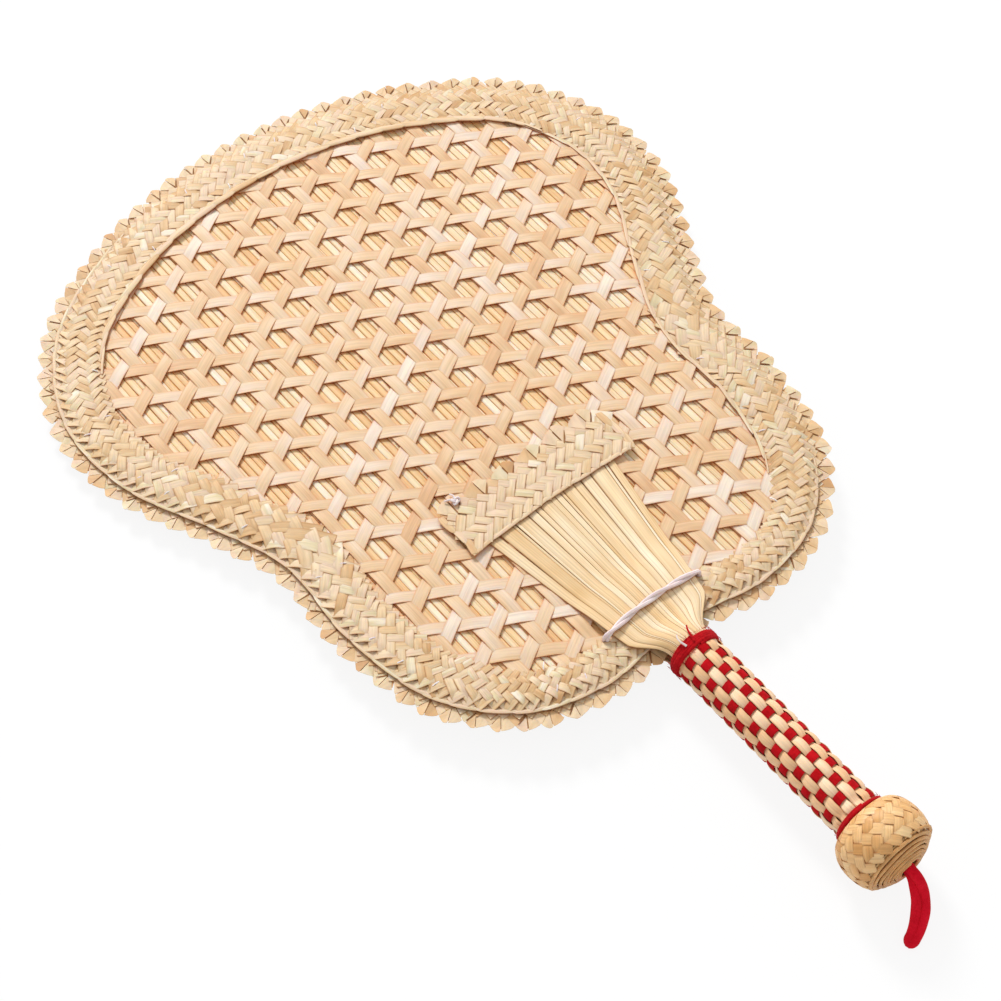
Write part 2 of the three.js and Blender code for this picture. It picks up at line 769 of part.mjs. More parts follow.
// Hanging loop: one cord, out and back beside itself, its strands turned flat on their way
function loopLine() {
  const middle = new THREE.CatmullRomCurve3(loopRoute.map(([x, y, z]) => {
    return new THREE.Vector3(exitX + x, y, z);
  }));
  const length = middle.getLength();
  const out = [];
  const back = [];
  const steps = 14;
  const reach = 1 - strandSpacing / 2 / length;
  for (let i = 0; i <= steps; i += 1) {
    const share = (reach * i) / steps;
    const point = middle.getPointAt(share);
    const along = middle.getTangentAt(share);
    const level = new THREE.Vector3(0, 0, 1).cross(along).normalize();
    const above = new THREE.Vector3().crossVectors(along, level);
    const turn = (Math.PI / 2) * (1 - THREE.MathUtils.smoothstep(share * length, 0, twistLength));
    const side = level.multiplyScalar(Math.cos(turn)).addScaledVector(above, Math.sin(turn));
    out.push(point.clone().addScaledVector(side, strandSpacing / 2));
    back.unshift(point.clone().addScaledVector(side, -strandSpacing / 2));
  }
  const tip = middle.getPointAt(1);
  return new THREE.CatmullRomCurve3([...out, tip, ...back]);
}

const loopCurve = loopLine();
const loopLength = loopCurve.getLength();
console.log('length of the hanging loop cord', loopLength.toFixed(1));
const cordShape = new THREE.Shape(roundSection(cordDiameter / 2, 8).map(([a, b]) => new THREE.Vector2(a, b)));
const cordTube = new THREE.ExtrudeGeometry(cordShape, {
  steps: 62,
  bevelEnabled: false,
  extrudePath: loopCurve,
});
addPiece(fan, 'hanging_loop', cordTube, redFabric);

// The leaf leans a little off the handle's line, about the pommel
const leafPivot = new THREE.Group();
leafPivot.position.set(pommelCentreX, 0, 0);
leafPivot.rotation.z = leafLean;
leaf.position.set(-pommelCentreX, 0, 0);
leafPivot.add(leaf);
fan.add(leafPivot);

// The fan lies on its pommel and on the rim at its leaf's tip, which tilts it down to the tip
const leafTipX = leafHalfOutline[0][0];
const tilt = Math.atan2(pommelRadius - rimTop, leafTipX - rimBend - pommelCentreX);
fan.rotation.y = tilt;
const object = new THREE.Group();
object.add(fan);
object.updateMatrixWorld(true);
const box = new THREE.Box3();
fan.traverse((piece) => {
  if (piece.isMesh && piece.name !== 'hanging_loop') {
    box.expandByObject(piece, true);
  }
});
fan.position.set(-(box.min.x + box.max.x) / 2, -(box.min.y + box.max.y) / 2, -box.min.z);
console.log('tilt in degrees', THREE.MathUtils.radToDeg(tilt).toFixed(4));
console.log('shift', fan.position.toArray().map((value) => value.toFixed(4)).join(' '));

export default object;
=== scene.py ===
import bpy
import json
import math
import random
import numpy as np
from mathutils import Matrix, Vector


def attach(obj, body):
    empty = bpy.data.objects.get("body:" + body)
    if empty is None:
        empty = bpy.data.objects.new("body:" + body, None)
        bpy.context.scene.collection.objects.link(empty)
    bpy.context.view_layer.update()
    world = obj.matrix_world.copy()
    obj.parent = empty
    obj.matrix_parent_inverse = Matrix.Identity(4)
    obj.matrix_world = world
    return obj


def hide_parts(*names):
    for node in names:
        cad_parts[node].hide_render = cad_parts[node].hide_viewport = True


# Woven straw hand fan, dressed over its CAD frame.
# Lengths in the dictionaries are millimetres in the fan's own frame: x runs from the handle
# to the leaf's tip, z is up, and toWorld tilts it down on the table as the frame has it.
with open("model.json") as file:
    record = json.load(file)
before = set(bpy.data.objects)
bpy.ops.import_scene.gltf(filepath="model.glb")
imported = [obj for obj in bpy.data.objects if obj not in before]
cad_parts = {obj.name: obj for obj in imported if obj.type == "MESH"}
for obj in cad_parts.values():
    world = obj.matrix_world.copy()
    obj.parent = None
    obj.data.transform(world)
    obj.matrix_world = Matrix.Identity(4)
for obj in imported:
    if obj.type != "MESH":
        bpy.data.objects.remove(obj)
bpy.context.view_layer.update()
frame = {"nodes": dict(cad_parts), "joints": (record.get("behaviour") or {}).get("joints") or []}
bpy.ops.object.select_all(action="DESELECT")
print("frame loaded")

fanPlace = {
    "tilt": 2.0352,  # degrees, nose down to the leaf's tip
    "exitX": -275.539,  # where the hanging loop leaves the pommel
    "pivotX": -263.812,  # the leaf leans about the pommel's middle
    "leafLean": -2.1,  # degrees
}
tiltTurn = math.radians(fanPlace["tilt"])
worldTurn = np.array([
    [math.cos(tiltTurn), 0.0, math.sin(tiltTurn)],
    [0.0, 1.0, 0.0],
    [-math.sin(tiltTurn), 0.0, math.cos(tiltTurn)],
])
loopHinge = np.array(frame["joints"][0]["pos_m"]) * 1000.0
worldShift = loopHinge - worldTurn @ np.array([fanPlace["exitX"], 0.0, 0.0])
xAxis = np.array([1.0, 0.0, 0.0])
zUp = np.array([0.0, 0.0, 1.0])


def toWorld(points):
    return (np.asarray(points, float) @ worldTurn.T + worldShift) / 1000.0


def smoothStep(x, low, high):
    t = np.clip((np.asarray(x, float) - low) / (high - low), 0.0, 1.0)
    return t * t * (3.0 - 2.0 * t)


def mix(a, b, share):
    return a + (b - a) * share


def unit(rows):
    return rows / np.linalg.norm(rows, axis=-1, keepdims=True)


# a wave with rounder or sharper crests
def rounder(wave, power):
    return np.sign(wave) * np.abs(wave) ** power


# distance along a line at each of its points
def reachOf(line):
    return np.concatenate([[0.0], np.cumsum(np.linalg.norm(np.diff(line, axis=0), axis=1))])


# the camera stands where the photograph was taken from
cameraLook = {
    "spot": (-438.8, 312.6, 697.4), "down": 55.67, "heading": (0.7767, -0.6299),
    "lens": 79.12, "sensor": 36.0, "clip": (0.01, 20.0),  # the clipping distances are in metres
}
down = math.radians(cameraLook["down"])
aheadX, aheadY = cameraLook["heading"]
viewAxis = worldTurn @ np.array([aheadX * math.cos(down), aheadY * math.cos(down), -math.sin(down)])
rightAxis = worldTurn @ np.array([aheadY, -aheadX, 0.0])
upAxis = np.cross(rightAxis, viewAxis)
bpy.ops.object.camera_add()
camera = bpy.context.object
camera.name = "camera"
camera.data.lens = cameraLook["lens"]
camera.data.sensor_width = cameraLook["sensor"]
camera.data.clip_start, camera.data.clip_end = cameraLook["clip"]
cameraTurn = Matrix([[rightAxis[i], upAxis[i], -viewAxis[i]] for i in range(3)]).to_4x4()
camera.matrix_world = Matrix.Translation(Vector(toWorld(cameraLook["spot"]))) @ cameraTurn
bpy.context.scene.camera = camera
print("camera placed")


# points at even arc length along a centripetal Catmull-Rom curve, and the curve's length
def centripetal(points, closed, count):
    pts = [np.array(p, float) for p in points]
    if closed:
        ring = [pts[-1]] + pts + pts[:2]
    else:
        ring = [2 * pts[0] - pts[1]] + pts + [2 * pts[-1] - pts[-2]]
    t = (np.arange(48) / 48.0)[:, None]
    fine = []
    for i in range(1, len(ring) - 2):
        p0, p1, p2, p3 = ring[i - 1:i + 3]
        d0, d1, d2 = [max(np.linalg.norm(b - a) ** 0.5, 1e-4) for a, b in ((p0, p1), (p1, p2), (p2, p3))]
        m1 = ((p1 - p0) / d0 - (p2 - p0) / (d0 + d1) + (p2 - p1) / d1) * d1
        m2 = ((p2 - p1) / d1 - (p3 - p1) / (d1 + d2) + (p3 - p2) / d2) * d1
        fine.append((2 * t**3 - 3 * t**2 + 1) * p1 + (t**3 - 2 * t**2 + t) * m1
                    + (3 * t**2 - 2 * t**3) * p2 + (t**3 - t**2) * m2)
    fine = np.vstack(fine + [pts[0] if closed else pts[-1]])
    reach = reachOf(fine)
    want = np.linspace(0.0, reach[-1], count + 1 if closed else count)
    even = np.stack([np.interp(want, reach, column) for column in fine.T], axis=1)
    return (even[:-1] if closed else even), reach[-1]


# leaf outline, as in the frame
leafShape = {
    "half": [
        (151.5, 0), (148, 37), (135.5, 77), (106.5, 120.5), (63.5, 142), (21, 139.5), (-19, 121),
        (-47, 109.5), (-85, 109), (-128, 98), (-156, 71), (-165, 37), (-162, 12), (-161, 0),
    ],
    "samples": 1440,
    "rimWidth": (23.5, 28.0),  # by the handle and elsewhere
    "nearHandle": (60, 120),
    "rimLevel": (0.75, 2.25),  # outside and inside the bend over the hoop
    "rimBend": (8.0, 12.5),
}
half = leafShape["half"]
outline = half + [(x, -y) for x, y in reversed(half[1:-1])]
edgeCount = leafShape["samples"]
edgeLine, edgeLength = centripetal(outline, True, edgeCount)
edgeAlong = unit(np.roll(edgeLine, -1, axis=0) - np.roll(edgeLine, 1, axis=0))
leanTurn = math.radians(fanPlace["leafLean"])


# a point of the leaf in the fan's frame, by its share of the way round and its inset
def onEdge(share, inset):
    at = (np.asarray(share, float) % 1.0) * edgeCount
    low = np.floor(at).astype(int) % edgeCount
    high = (low + 1) % edgeCount
    between = (at - np.floor(at))[..., None]
    point = mix(edgeLine[low], edgeLine[high], between)
    along = unit(mix(edgeAlong[low], edgeAlong[high], between))
    x = point[..., 0] - along[..., 1] * inset - fanPlace["pivotX"]
    y = point[..., 1] + along[..., 0] * inset
    return np.stack([
        fanPlace["pivotX"] + x * math.cos(leanTurn) - y * math.sin(leanTurn),
        x * math.sin(leanTurn) + y * math.cos(leanTurn),
    ], axis=-1)


def rimWidthAt(share):
    fromHandle = np.abs(np.asarray(share, float) % 1.0 - 0.5) * edgeLength
    return mix(*leafShape["rimWidth"], smoothStep(fromHandle, *leafShape["nearHandle"]))


def rimLevel(inset):
    return mix(*leafShape["rimLevel"], smoothStep(inset, *leafShape["rimBend"]))


def emptyTree(block):
    block.use_nodes = True
    block.node_tree.nodes.clear()
    return block.node_tree


# a shader node, whose inputs take a value each or the socket that feeds them
def nodeOf(tree, kind, inputs, **settings):
    node = tree.nodes.new("ShaderNode" + kind)
    node.location = (200 * len(tree.nodes), 0)
    for key, value in settings.items():
        setattr(node, key, value)
    for key, value in inputs.items():
        if isinstance(value, bpy.types.NodeSocket):
            tree.links.new(value, node.inputs[key])
        else:
            node.inputs[key].default_value = value
    return node


def mathOf(tree, operation, *values):
    return nodeOf(tree, "Math", dict(enumerate(values)), operation=operation).outputs[0]


def rangeOf(tree, value, fromLow, fromHigh, toLow, toHigh, kind="LINEAR"):
    inputs = {"Value": value, "From Min": fromLow, "From Max": fromHigh, "To Min": toLow, "To Max": toHigh}
    return nodeOf(tree, "MapRange", inputs, interpolation_type=kind).outputs[0]


def mixColour(tree, share, first, second, kind):
    inputs = {0: share, 6: first, 7: second}  # the factor and the two colours
    return nodeOf(tree, "Mix", inputs, data_type="RGBA", blend_type=kind).outputs[2]


def rampOf(tree, share, stops):
    ramp = nodeOf(tree, "ValToRGB", {"Fac": share})
    while len(ramp.color_ramp.elements) < len(stops):
        ramp.color_ramp.elements.new(0.5)
    for element, (position, colour) in zip(ramp.color_ramp.elements, stops):
        element.position = position
        element.color = srgb(colour)
    return ramp.outputs["Color"]


def noiseOf(tree, place, stretch, detail, roughness):
    space = nodeOf(tree, "Mapping", {0: place, "Scale": stretch}).outputs[0]
    inputs = {"Vector": space, "Scale": 1.0, "Detail": detail, "Roughness": roughness}
    return nodeOf(tree, "TexNoise", inputs).outputs["Fac"]


def srgb(hexCode):
    parts = [int(hexCode[i:i + 2], 16) / 255.0 for i in (0, 2, 4)]
    return tuple(c / 12.92 if c <= 0.04045 else ((c + 0.055) / 1.055) ** 2.4 for c in parts) + (1.0,)


# what all the straw shares; u is in millimetres along a strip, v in strip widths across it
strawBasis = {
    "stickScale": (1000.0, 100.0, 100.0),  # pieces kept from the frame have no strips
    "blotchStretch": (0.035, 0.7, 1.0),
    "toneShare": 0.75, "blotchShare": 1.3, "shift": -0.52,
    # the edge and hollow ranges set where painted shade falls on the straw
    "fibreSeen": (0.3, 0.62), "edgeShadeSeen": (0.36, 0.52), "hollowShadeSeen": (0.15, 0.85),
    "bumpDepth": 0.0003, "glowDepth": 0.0012, "glowColours": (1.0, 0.5, 0.2),
}


# straw: fibres along u, a tone for each strip, painted shade along the strip edges and painted warm shade in
# hollows
def strawFinish(name, look):
    mat = bpy.data.materials.new(name)
    tree = emptyTree(mat)
    fibreLength, fibreCount, fibreDepth = look["fibre"]
    edgeShadeShare, edgeShadeColour = look["edge"]
    hollowShadeShare, hollowShadeColour, hollowShadeReach = look["hollowShade"]
    tone = nodeOf(tree, "Attribute", {}, attribute_name="tone").outputs["Fac"]
    if name == "stickStraw":
        place = nodeOf(tree, "TexCoord", {}).outputs["Object"]
        place = nodeOf(tree, "Mapping", {0: place, "Scale": strawBasis["stickScale"]}).outputs[0]
    else:
        place = nodeOf(tree, "UVMap", {}, uv_map="stripUv").outputs["UV"]
    split = nodeOf(tree, "SeparateXYZ", {0: place}).outputs
    otherGrain = mathOf(tree, "MULTIPLY", tone, 53.0)
    grain = nodeOf(tree, "CombineXYZ", {0: split["X"], 1: split["Y"], 2: otherGrain}).outputs[0]
    # long fibres and slow blotches
    fibre = noiseOf(tree, grain, (fibreLength, fibreCount, 1.0), 3.0, 0.6)
    blotch = noiseOf(tree, grain, strawBasis["blotchStretch"], 2.0, 0.5)
    # tone and blotches choose the colour, and the fibres darken it
    spread = mathOf(tree, "MULTIPLY_ADD", blotch, strawBasis["blotchShare"], strawBasis["shift"])
    blend = mathOf(tree, "MULTIPLY_ADD", tone, strawBasis["toneShare"], spread)
    colour = rampOf(tree, blend, look["colours"])
    fibreShade = rangeOf(tree, fibre, *strawBasis["fibreSeen"], 1.0 - fibreDepth, 1.0)
    colour = mixColour(tree, 1.0, colour, fibreShade, "MULTIPLY")
    # painted shade: the strip's edges are darker and warmer, standing in for the thin shadow lines where
    # strips meet
    fromMiddle = mathOf(tree, "SUBTRACT", split["Y"], 0.5)
    fromMiddle = mathOf(tree, "ABSOLUTE", fromMiddle)
    edge = rangeOf(tree, fromMiddle, *strawBasis["edgeShadeSeen"], 0.0, edgeShadeShare, "SMOOTHSTEP")
    colour = mixColour(tree, edge, colour, srgb(edgeShadeColour), "MIX")
    # painted shade: where hollows between strips lie in shade, the colour is multiplied towards a warm brown
    hollowShade = nodeOf(tree, "AmbientOcclusion", {"Distance": hollowShadeReach / 1000.0}, samples=8)
    hollowShade = rangeOf(tree, hollowShade.outputs["AO"], *strawBasis["hollowShadeSeen"], hollowShadeShare, 0.0)
    colour = mixColour(tree, hollowShade, colour, srgb(hollowShadeColour), "MULTIPLY")
    depth = strawBasis["bumpDepth"]
    bump = nodeOf(tree, "Bump", {"Height": fibre, "Strength": look["relief"], "Distance": depth})
    shader = nodeOf(tree, "BsdfPrincipled", {
        "Base Color": colour, "Roughness": look["roughness"], "Specular IOR Level": look["gloss"],
        "Subsurface Weight": look["glow"], "Subsurface Radius": strawBasis["glowColours"],
        "Subsurface Scale": strawBasis["glowDepth"], "Normal": bump.outputs["Normal"],
    })
    nodeOf(tree, "OutputMaterial", {0: shader.outputs[0]})
    return mat


redBasis = {
    "cloudScale": 0.16, "cloudShare": 0.45, "fuzzShare": 0.55, "colourSeen": (0.3, 0.68),
    "bumpDepth": 0.0004, "roughness": 0.95, "gloss": 0.12, "sheenRoughness": 0.45,
}


# velvet, felt or ribbon: fine fuzz and a soft sheen
def redFinish(name, look):
    mat = bpy.data.materials.new(name)
    tree = emptyTree(mat)
    place = nodeOf(tree, "TexCoord", {}).outputs["Object"]
    fuzz = {"Vector": place, "Scale": look["fuzz"], "Detail": 4.0}
    fuzz = nodeOf(tree, "TexNoise", fuzz).outputs["Fac"]
    cloud = {"Vector": place, "Scale": look["fuzz"] * redBasis["cloudScale"], "Detail": 2.0}
    cloud = nodeOf(tree, "TexNoise", cloud).outputs["Fac"]
    cloud = mathOf(tree, "MULTIPLY", cloud, redBasis["cloudShare"])
    blend = mathOf(tree, "MULTIPLY_ADD", fuzz, redBasis["fuzzShare"], cloud)
    stops = list(zip(redBasis["colourSeen"], (look["dark"], look["light"])))
    depth = redBasis["bumpDepth"]
    bump = nodeOf(tree, "Bump", {"Height": fuzz, "Strength": look["relief"], "Distance": depth})
    shader = nodeOf(tree, "BsdfPrincipled", {
        "Base Color": rampOf(tree, blend, stops),
        "Roughness": redBasis["roughness"], "Specular IOR Level": redBasis["gloss"],
        "Sheen Weight": look["sheen"], "Sheen Roughness": redBasis["sheenRoughness"],
        "Sheen Tint": srgb(look["sheenColour"]), "Normal": bump.outputs["Normal"],
    })
    nodeOf(tree, "OutputMaterial", {0: shader.outputs[0]})
    return mat


# fibre: stretch along, number across and depth; the painted shade along strip edges: share and colour; the
# painted warm shade in hollows: share, colour and reach
finishes = {
    "weave": {
        "colours": [
            (0.0, "dcac80"), (0.28, "e6be94"), (0.5, "eac8a6"),
            (0.7, "ebccb2"), (0.85, "ecd2be"), (1.0, "f3ddc8"),
        ],
        "roughness": 0.55, "gloss": 0.38, "relief": 0.35, "glow": 0.25,
        "fibre": (0.05, 7.0, 0.15), "edge": (0.5, "c88e54"), "hollowShade": (0.92, "fa9c4a", 2.4),
    },
    "core": {
        "colours": [(0.0, "e8b478"), (0.35, "f3c994"), (0.7, "f7dab2"), (1.0, "fae6cc")],
        "roughness": 0.5, "gloss": 0.4, "relief": 0.3, "glow": 0.35,
        "fibre": (0.03, 5.0, 0.2), "edge": (0.8, "c8823c"), "hollowShade": (0.9, "fca044", 2.4),
    },
    "rim": {
        "colours": [
            (0.0, "ca9a67"), (0.18, "dbb07e"), (0.4, "e3c094"), (0.58, "e9cca7"),
            (0.72, "e5c3a5"), (0.86, "e0ca9e"), (1.0, "f0ddc4"),
        ],
        "roughness": 0.55, "gloss": 0.38, "relief": 0.35, "glow": 0.15,
        "fibre": (0.08, 5.0, 0.2), "edge": (0.66, "b27c44"), "hollowShade": (0.85, "dc9a58", 1.6),
    },
    "glossy": {
        "colours": [(0.0, "e2b980"), (0.3, "efcd9d"), (0.6, "f6dbb2"), (1.0, "fbe9cb")],
        "roughness": 0.6, "gloss": 0.26, "relief": 0.3, "glow": 0.1,
        "fibre": (0.008, 9.0, 0.24), "edge": (0.6, "b07c3e"), "hollowShade": (0.85, "cc8844", 1.6),
    },
    "splint": {
        "colours": [(0.0, "f0bc8a"), (0.4, "f7ca9c"), (0.7, "fad4ae"), (1.0, "fce0bc")],
        "roughness": 0.55, "gloss": 0.3, "relief": 0.25, "glow": 0.12,
        "fibre": (0.03, 6.0, 0.2), "edge": (0.55, "cc8e56"), "hollowShade": (0.7, "d87a48", 1.4),
    },
    "pommel": {
        "colours": [(0.0, "d69a58"), (0.35, "eab272"), (0.7, "f3c287"), (1.0, "f8d19b")],
        "roughness": 0.5, "gloss": 0.42, "relief": 0.4, "glow": 0.1,
        "fibre": (0.06, 6.0, 0.22), "edge": (0.55, "a46c36"), "hollowShade": (0.8, "c88448", 1.4),
    },
    "coil": {
        "colours": [(0.0, "c68e54"), (0.4, "daa364"), (0.8, "e7b478"), (1.0, "efc58d")],
        "roughness": 0.55, "gloss": 0.36, "relief": 0.6, "glow": 0.2,
        "fibre": (0.25, 4.0, 0.36), "edge": (0.25, "a87440"), "hollowShade": (0.4, "cc9458", 1.0),
    },
    "thread": {
        "colours": [(0.0, "e8d4d2"), (0.5, "f1e3e2"), (1.0, "f8f1ef")],
        "roughness": 0.85, "gloss": 0.15, "relief": 0.6, "glow": 0.15,
        "fibre": (0.5, 7.0, 0.14), "edge": (0.3, "d2b8bc"), "hollowShade": (0.5, "d4b2ae", 1.0),
    },
    # painted shadow: a dark brown for the thin strips laid where the points' creases lie in shade
    "creaseShade": {
        "colours": [(0.0, "7c4e28"), (0.5, "93623a"), (1.0, "ac7c4e")],
        "roughness": 0.7, "gloss": 0.2, "relief": 0.3, "glow": 0.0,
        "fibre": (0.3, 2.0, 0.3), "edge": (0.2, "7c4e28"), "hollowShade": (0.4, "9c6430", 0.8),
    },
    "stick": {
        "colours": [(0.0, "c4985e"), (0.5, "d8b078"), (1.0, "e6c490")],
        "roughness": 0.5, "gloss": 0.4, "relief": 0.4, "glow": 0.0,
        "fibre": (0.02, 9.0, 0.3), "edge": (0.2, "94703c"), "hollowShade": (0.6, "9c6c38", 2.0),
    },
}
straw = {key: strawFinish(key + "Straw", look) for key, look in finishes.items()}
redLooks = {
    "ribbon": {
        "dark": "980409", "light": "c6101b",
        "sheen": 0.15, "sheenColour": "ff7a7a", "fuzz": 900.0, "relief": 0.4,
    },
    "velvet": {
        "dark": "c6081e", "light": "e8162f",
        "sheen": 0.2, "sheenColour": "ff7070", "fuzz": 1400.0, "relief": 0.35,
    },
    "felt": {
        "dark": "98060f", "light": "c2141c",
        "sheen": 0.25, "sheenColour": "ff7070", "fuzz": 1100.0, "relief": 0.9,
    },
}
red = {key: redFinish(key + "Red", look) for key, look in redLooks.items()}
print("finishes made")

# one flat grid of each size is modelled, and each strip is a copy of it with its own mesh
flatGrids = {}


def gridCopy(along, across):
    if (along, across) not in flatGrids:
        bpy.ops.object.select_all(action="DESELECT")
        bpy.ops.mesh.primitive_grid_add(x_subdivisions=along, y_subdivisions=across, size=2)
        first = bpy.context.object
        first.data.uv_layers[0].name = "stripUv"
        first.data.attributes.new("tone", "FLOAT", "POINT")
        flatGrids[(along, across)] = first
    source = flatGrids[(along, across)]
    copy = source.copy()
    copy.data = source.data.copy()
    bpy.context.scene.collection.objects.link(copy)
    flat = np.zeros(len(copy.data.vertices) * 3)
    copy.data.vertices.foreach_get("co", flat)
    return copy, flat.reshape(-1, 3)


def shapeGrid(strip, points, u, v, tone):
    mesh = strip.data
    mesh.vertices.foreach_set("co", toWorld(points).ravel())
    corner = np.zeros(len(mesh.loops), int)
    mesh.loops.foreach_get("vertex_index", corner)
    mesh.uv_layers["stripUv"].uv.foreach_set("vector", np.stack([u[corner], v[corner]], axis=1).ravel())
    mesh.attributes["tone"].data.foreach_set("value", np.full(len(mesh.vertices), tone))
    mesh.update()
    return strip


# bends a flat grid along a line; wrap=(half width, half height) closes it round as a straw
def layStrip(line, side, up, width=1.0, across=4, crown=0.15, tone=0.5, wrap=None, uStart=0.0, flatTop=1.0):
    count = len(line)
    strip, flat = gridCopy(count - 1, across)
    station = np.rint((flat[:, 0] + 1) / 2 * (count - 1)).astype(int)
    v = flat[:, 1]

    def atStation(size):
        return np.broadcast_to(np.asarray(size, float), (count,))[station]

    if wrap is None:
        aside, above = v * atStation(width) / 2, crown * (1 - v**2)
    else:
        sine, cosine = np.sin(v * math.pi), np.cos(v * math.pi)
        aside = -sine * atStation(wrap[0])
        above = rounder(cosine, flatTop) * atStation(wrap[1])
        v = -sine
    points = line[station] + aside[:, None] * side[station] + above[:, None] * up[station]
    return shapeGrid(strip, points, (reachOf(line) + uStart)[station], (v + 1) / 2, tone)


def carry(piece, body, slot, nodes):
    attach(piece, body)
    if nodes:
        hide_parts(*nodes)
    print(piece.name, len(piece.data.polygons) if piece.type == "MESH" else "curve")


# joins strips into one piece of the fan, gives them thickness or closes straws, and smooths them
def bindStrips(name, strips, finish, slot, nodes, thickness=None, close=False, smooth=40.0):
    bpy.ops.object.select_all(action="DESELECT")
    for strip in strips:
        strip.select_set(True)
    bpy.context.view_layer.objects.active = strips[0]
    if len(strips) > 1:
        bpy.ops.object.join()
    piece = bpy.context.view_layer.objects.active
    piece.name = name
    piece.data.name = name
    piece.data.materials.clear()
    piece.data.materials.append(finish)
    if close:
        bpy.ops.object.mode_set(mode="EDIT")
        bpy.ops.mesh.select_all(action="SELECT")
        bpy.ops.mesh.remove_doubles(threshold=1e-6)
        bpy.ops.mesh.select_all(action="SELECT")
        bpy.ops.mesh.fill_holes(sides=64)
        bpy.ops.object.mode_set(mode="OBJECT")
    if thickness:
        wall = piece.modifiers.new("wall", "SOLIDIFY")
        wall.thickness = thickness / 1000.0
        wall.offset = 0.0
        bpy.ops.object.modifier_apply(modifier="wall")
    bpy.ops.object.select_all(action="DESELECT")
    piece.select_set(True)
    bpy.context.view_layer.objects.active = piece
    bpy.ops.object.shade_smooth_by_angle(angle=math.radians(smooth))
    carry(piece, "fan", slot, nodes)


# across and up directions along a line; up lies towards the given direction, or away from it at the back
def frameOf(line, towards=zUp, face=1):
    along = unit(np.gradient(line, axis=0))
    side = unit(np.cross(towards, along))
    return side, np.cross(along, side) * face


def rolled(side, up, roll):
    return side * math.cos(roll) + up * math.sin(roll), up * math.cos(roll) - side * math.sin(roll)


# each strip's own tone and place in the grain
def grainFrom(rng):
    return {"tone": rng.random(), "uStart": rng.uniform(0, 500)}


# a slow wander along a strip
def wander(reach, size, low, high, rng):
    return size * np.sin(reach / rng.uniform(low, high) + rng.uniform(0, 6.3))


# the hanging loop: one cord, out of the pommel and back
hangingLoop = {
    "diameter": 3.8,
    "spacing": (2.4, 3.2, 1.7),  # between its two strands at the exit, past halfway and at the tip
    "twist": (1.0, 14.0),  # the strands turn from one above the other to side by side
    "route": [
        (0, 0, 0), (-4.6, 0.3, -1.2), (-8.6, 1.4, -4.2), (-12, 3.3, -8),
        (-14.6, 6, -11.8), (-16.4, 9, -14.6), (-17.6, 12.4, -16.2),
    ],
    "steps": 14, "samples": 400, "points": 180,
}
exitSpot = np.array([fanPlace["exitX"], 0.0, 0.0])
middle, middleLength = centripetal(exitSpot + np.array(hangingLoop["route"]), False, hangingLoop["samples"])
outWay, backWay = [], []
reachShare = 1 - hangingLoop["spacing"][2] / 2 / middleLength
lastSample = hangingLoop["samples"] - 1
tangents = unit(np.gradient(middle, axis=0))
for i in range(hangingLoop["steps"] + 1):
    done = i / hangingLoop["steps"]
    at = reachShare * done * lastSample
    low = min(int(at), lastSample - 1)
    point = mix(middle[low], middle[low + 1], at - low)
    level = unit(np.cross(zUp, tangents[low]))
    above = np.cross(tangents[low], level)
    turn = (math.pi / 2) * (1 - float(smoothStep(reachShare * done * middleLength, *hangingLoop["twist"])))
    side = level * math.cos(turn) + above * math.sin(turn)
    apart = float(np.interp(done, (0.0, 0.6, 1.0), hangingLoop["spacing"]))
    outWay.append(point + side * apart / 2)
    backWay.insert(0, point - side * apart / 2)
loopLine, loopLength = centripetal(outWay + [middle[-1]] + backWay, False, hangingLoop["points"])
loopCurve = bpy.data.curves.new("hangingLoopCord", "CURVE")
loopCurve.dimensions = "3D"
loopCurve.bevel_depth = hangingLoop["diameter"] / 2000.0
loopCurve.bevel_resolution = 5
loopCurve.resolution_u = 2
spline = loopCurve.splines.new("POLY")
spline.points.add(len(loopLine) - 1)
for point, spot in zip(spline.points, toWorld(loopLine)):
    point.co = (*spot, 1.0)
loopCord = bpy.data.objects.new("hangingLoopCord", loopCurve)
bpy.context.scene.collection.objects.link(loopCord)
loopCurve.materials.append(red["velvet"])
carry(loopCord, "loop", "red_velvet", ["hanging_loop"])

# open weave of the leaf, in front and behind
openWeave = {
    "holePitch": 17.6, "rowPitch": 15.0, "middle": (-5.0, 2.5), "stripWidth": 5.15, "shortest": 7,
    "swing": 0.33, "level": 1.36, "levelAtRim": 1.03, "thickness": 0.24, "inset": 18.6, "step": 2.4,
    "rows": 11, "columns": 20,  # each way, more than cross the leaf
    "drift": (0.22, 22, 40), "swell": (0.03, 9, 16),  # size, and its shortest and longest waves
    "aside": 0.2, "widths": (0.93, 1.04), "crown": 0.05, "easeAtRim": 6.0, "rimInset": 27.0, "seed": 11,
}


# the stretches of a line inside a closed loop, as pairs of distances
def clipLine(start, direction, loop):
    after = np.roll(loop, -1, axis=0)
    normal = np.array([-direction[1], direction[0]])
    da = (loop - start) @ normal
    db = (after - start) @ normal
    crossing = (da > 0) != (db > 0)
    share = da[crossing] / (da[crossing] - db[crossing])
    hit = mix(loop[crossing], after[crossing], share[:, None])
    along = np.sort((hit - start) @ direction)
    return [(along[i], along[i + 1]) for i in range(0, len(along) - 1, 2)]


def insetLoop(inset, count=360):
    return onEdge(np.arange(count) / count, inset)


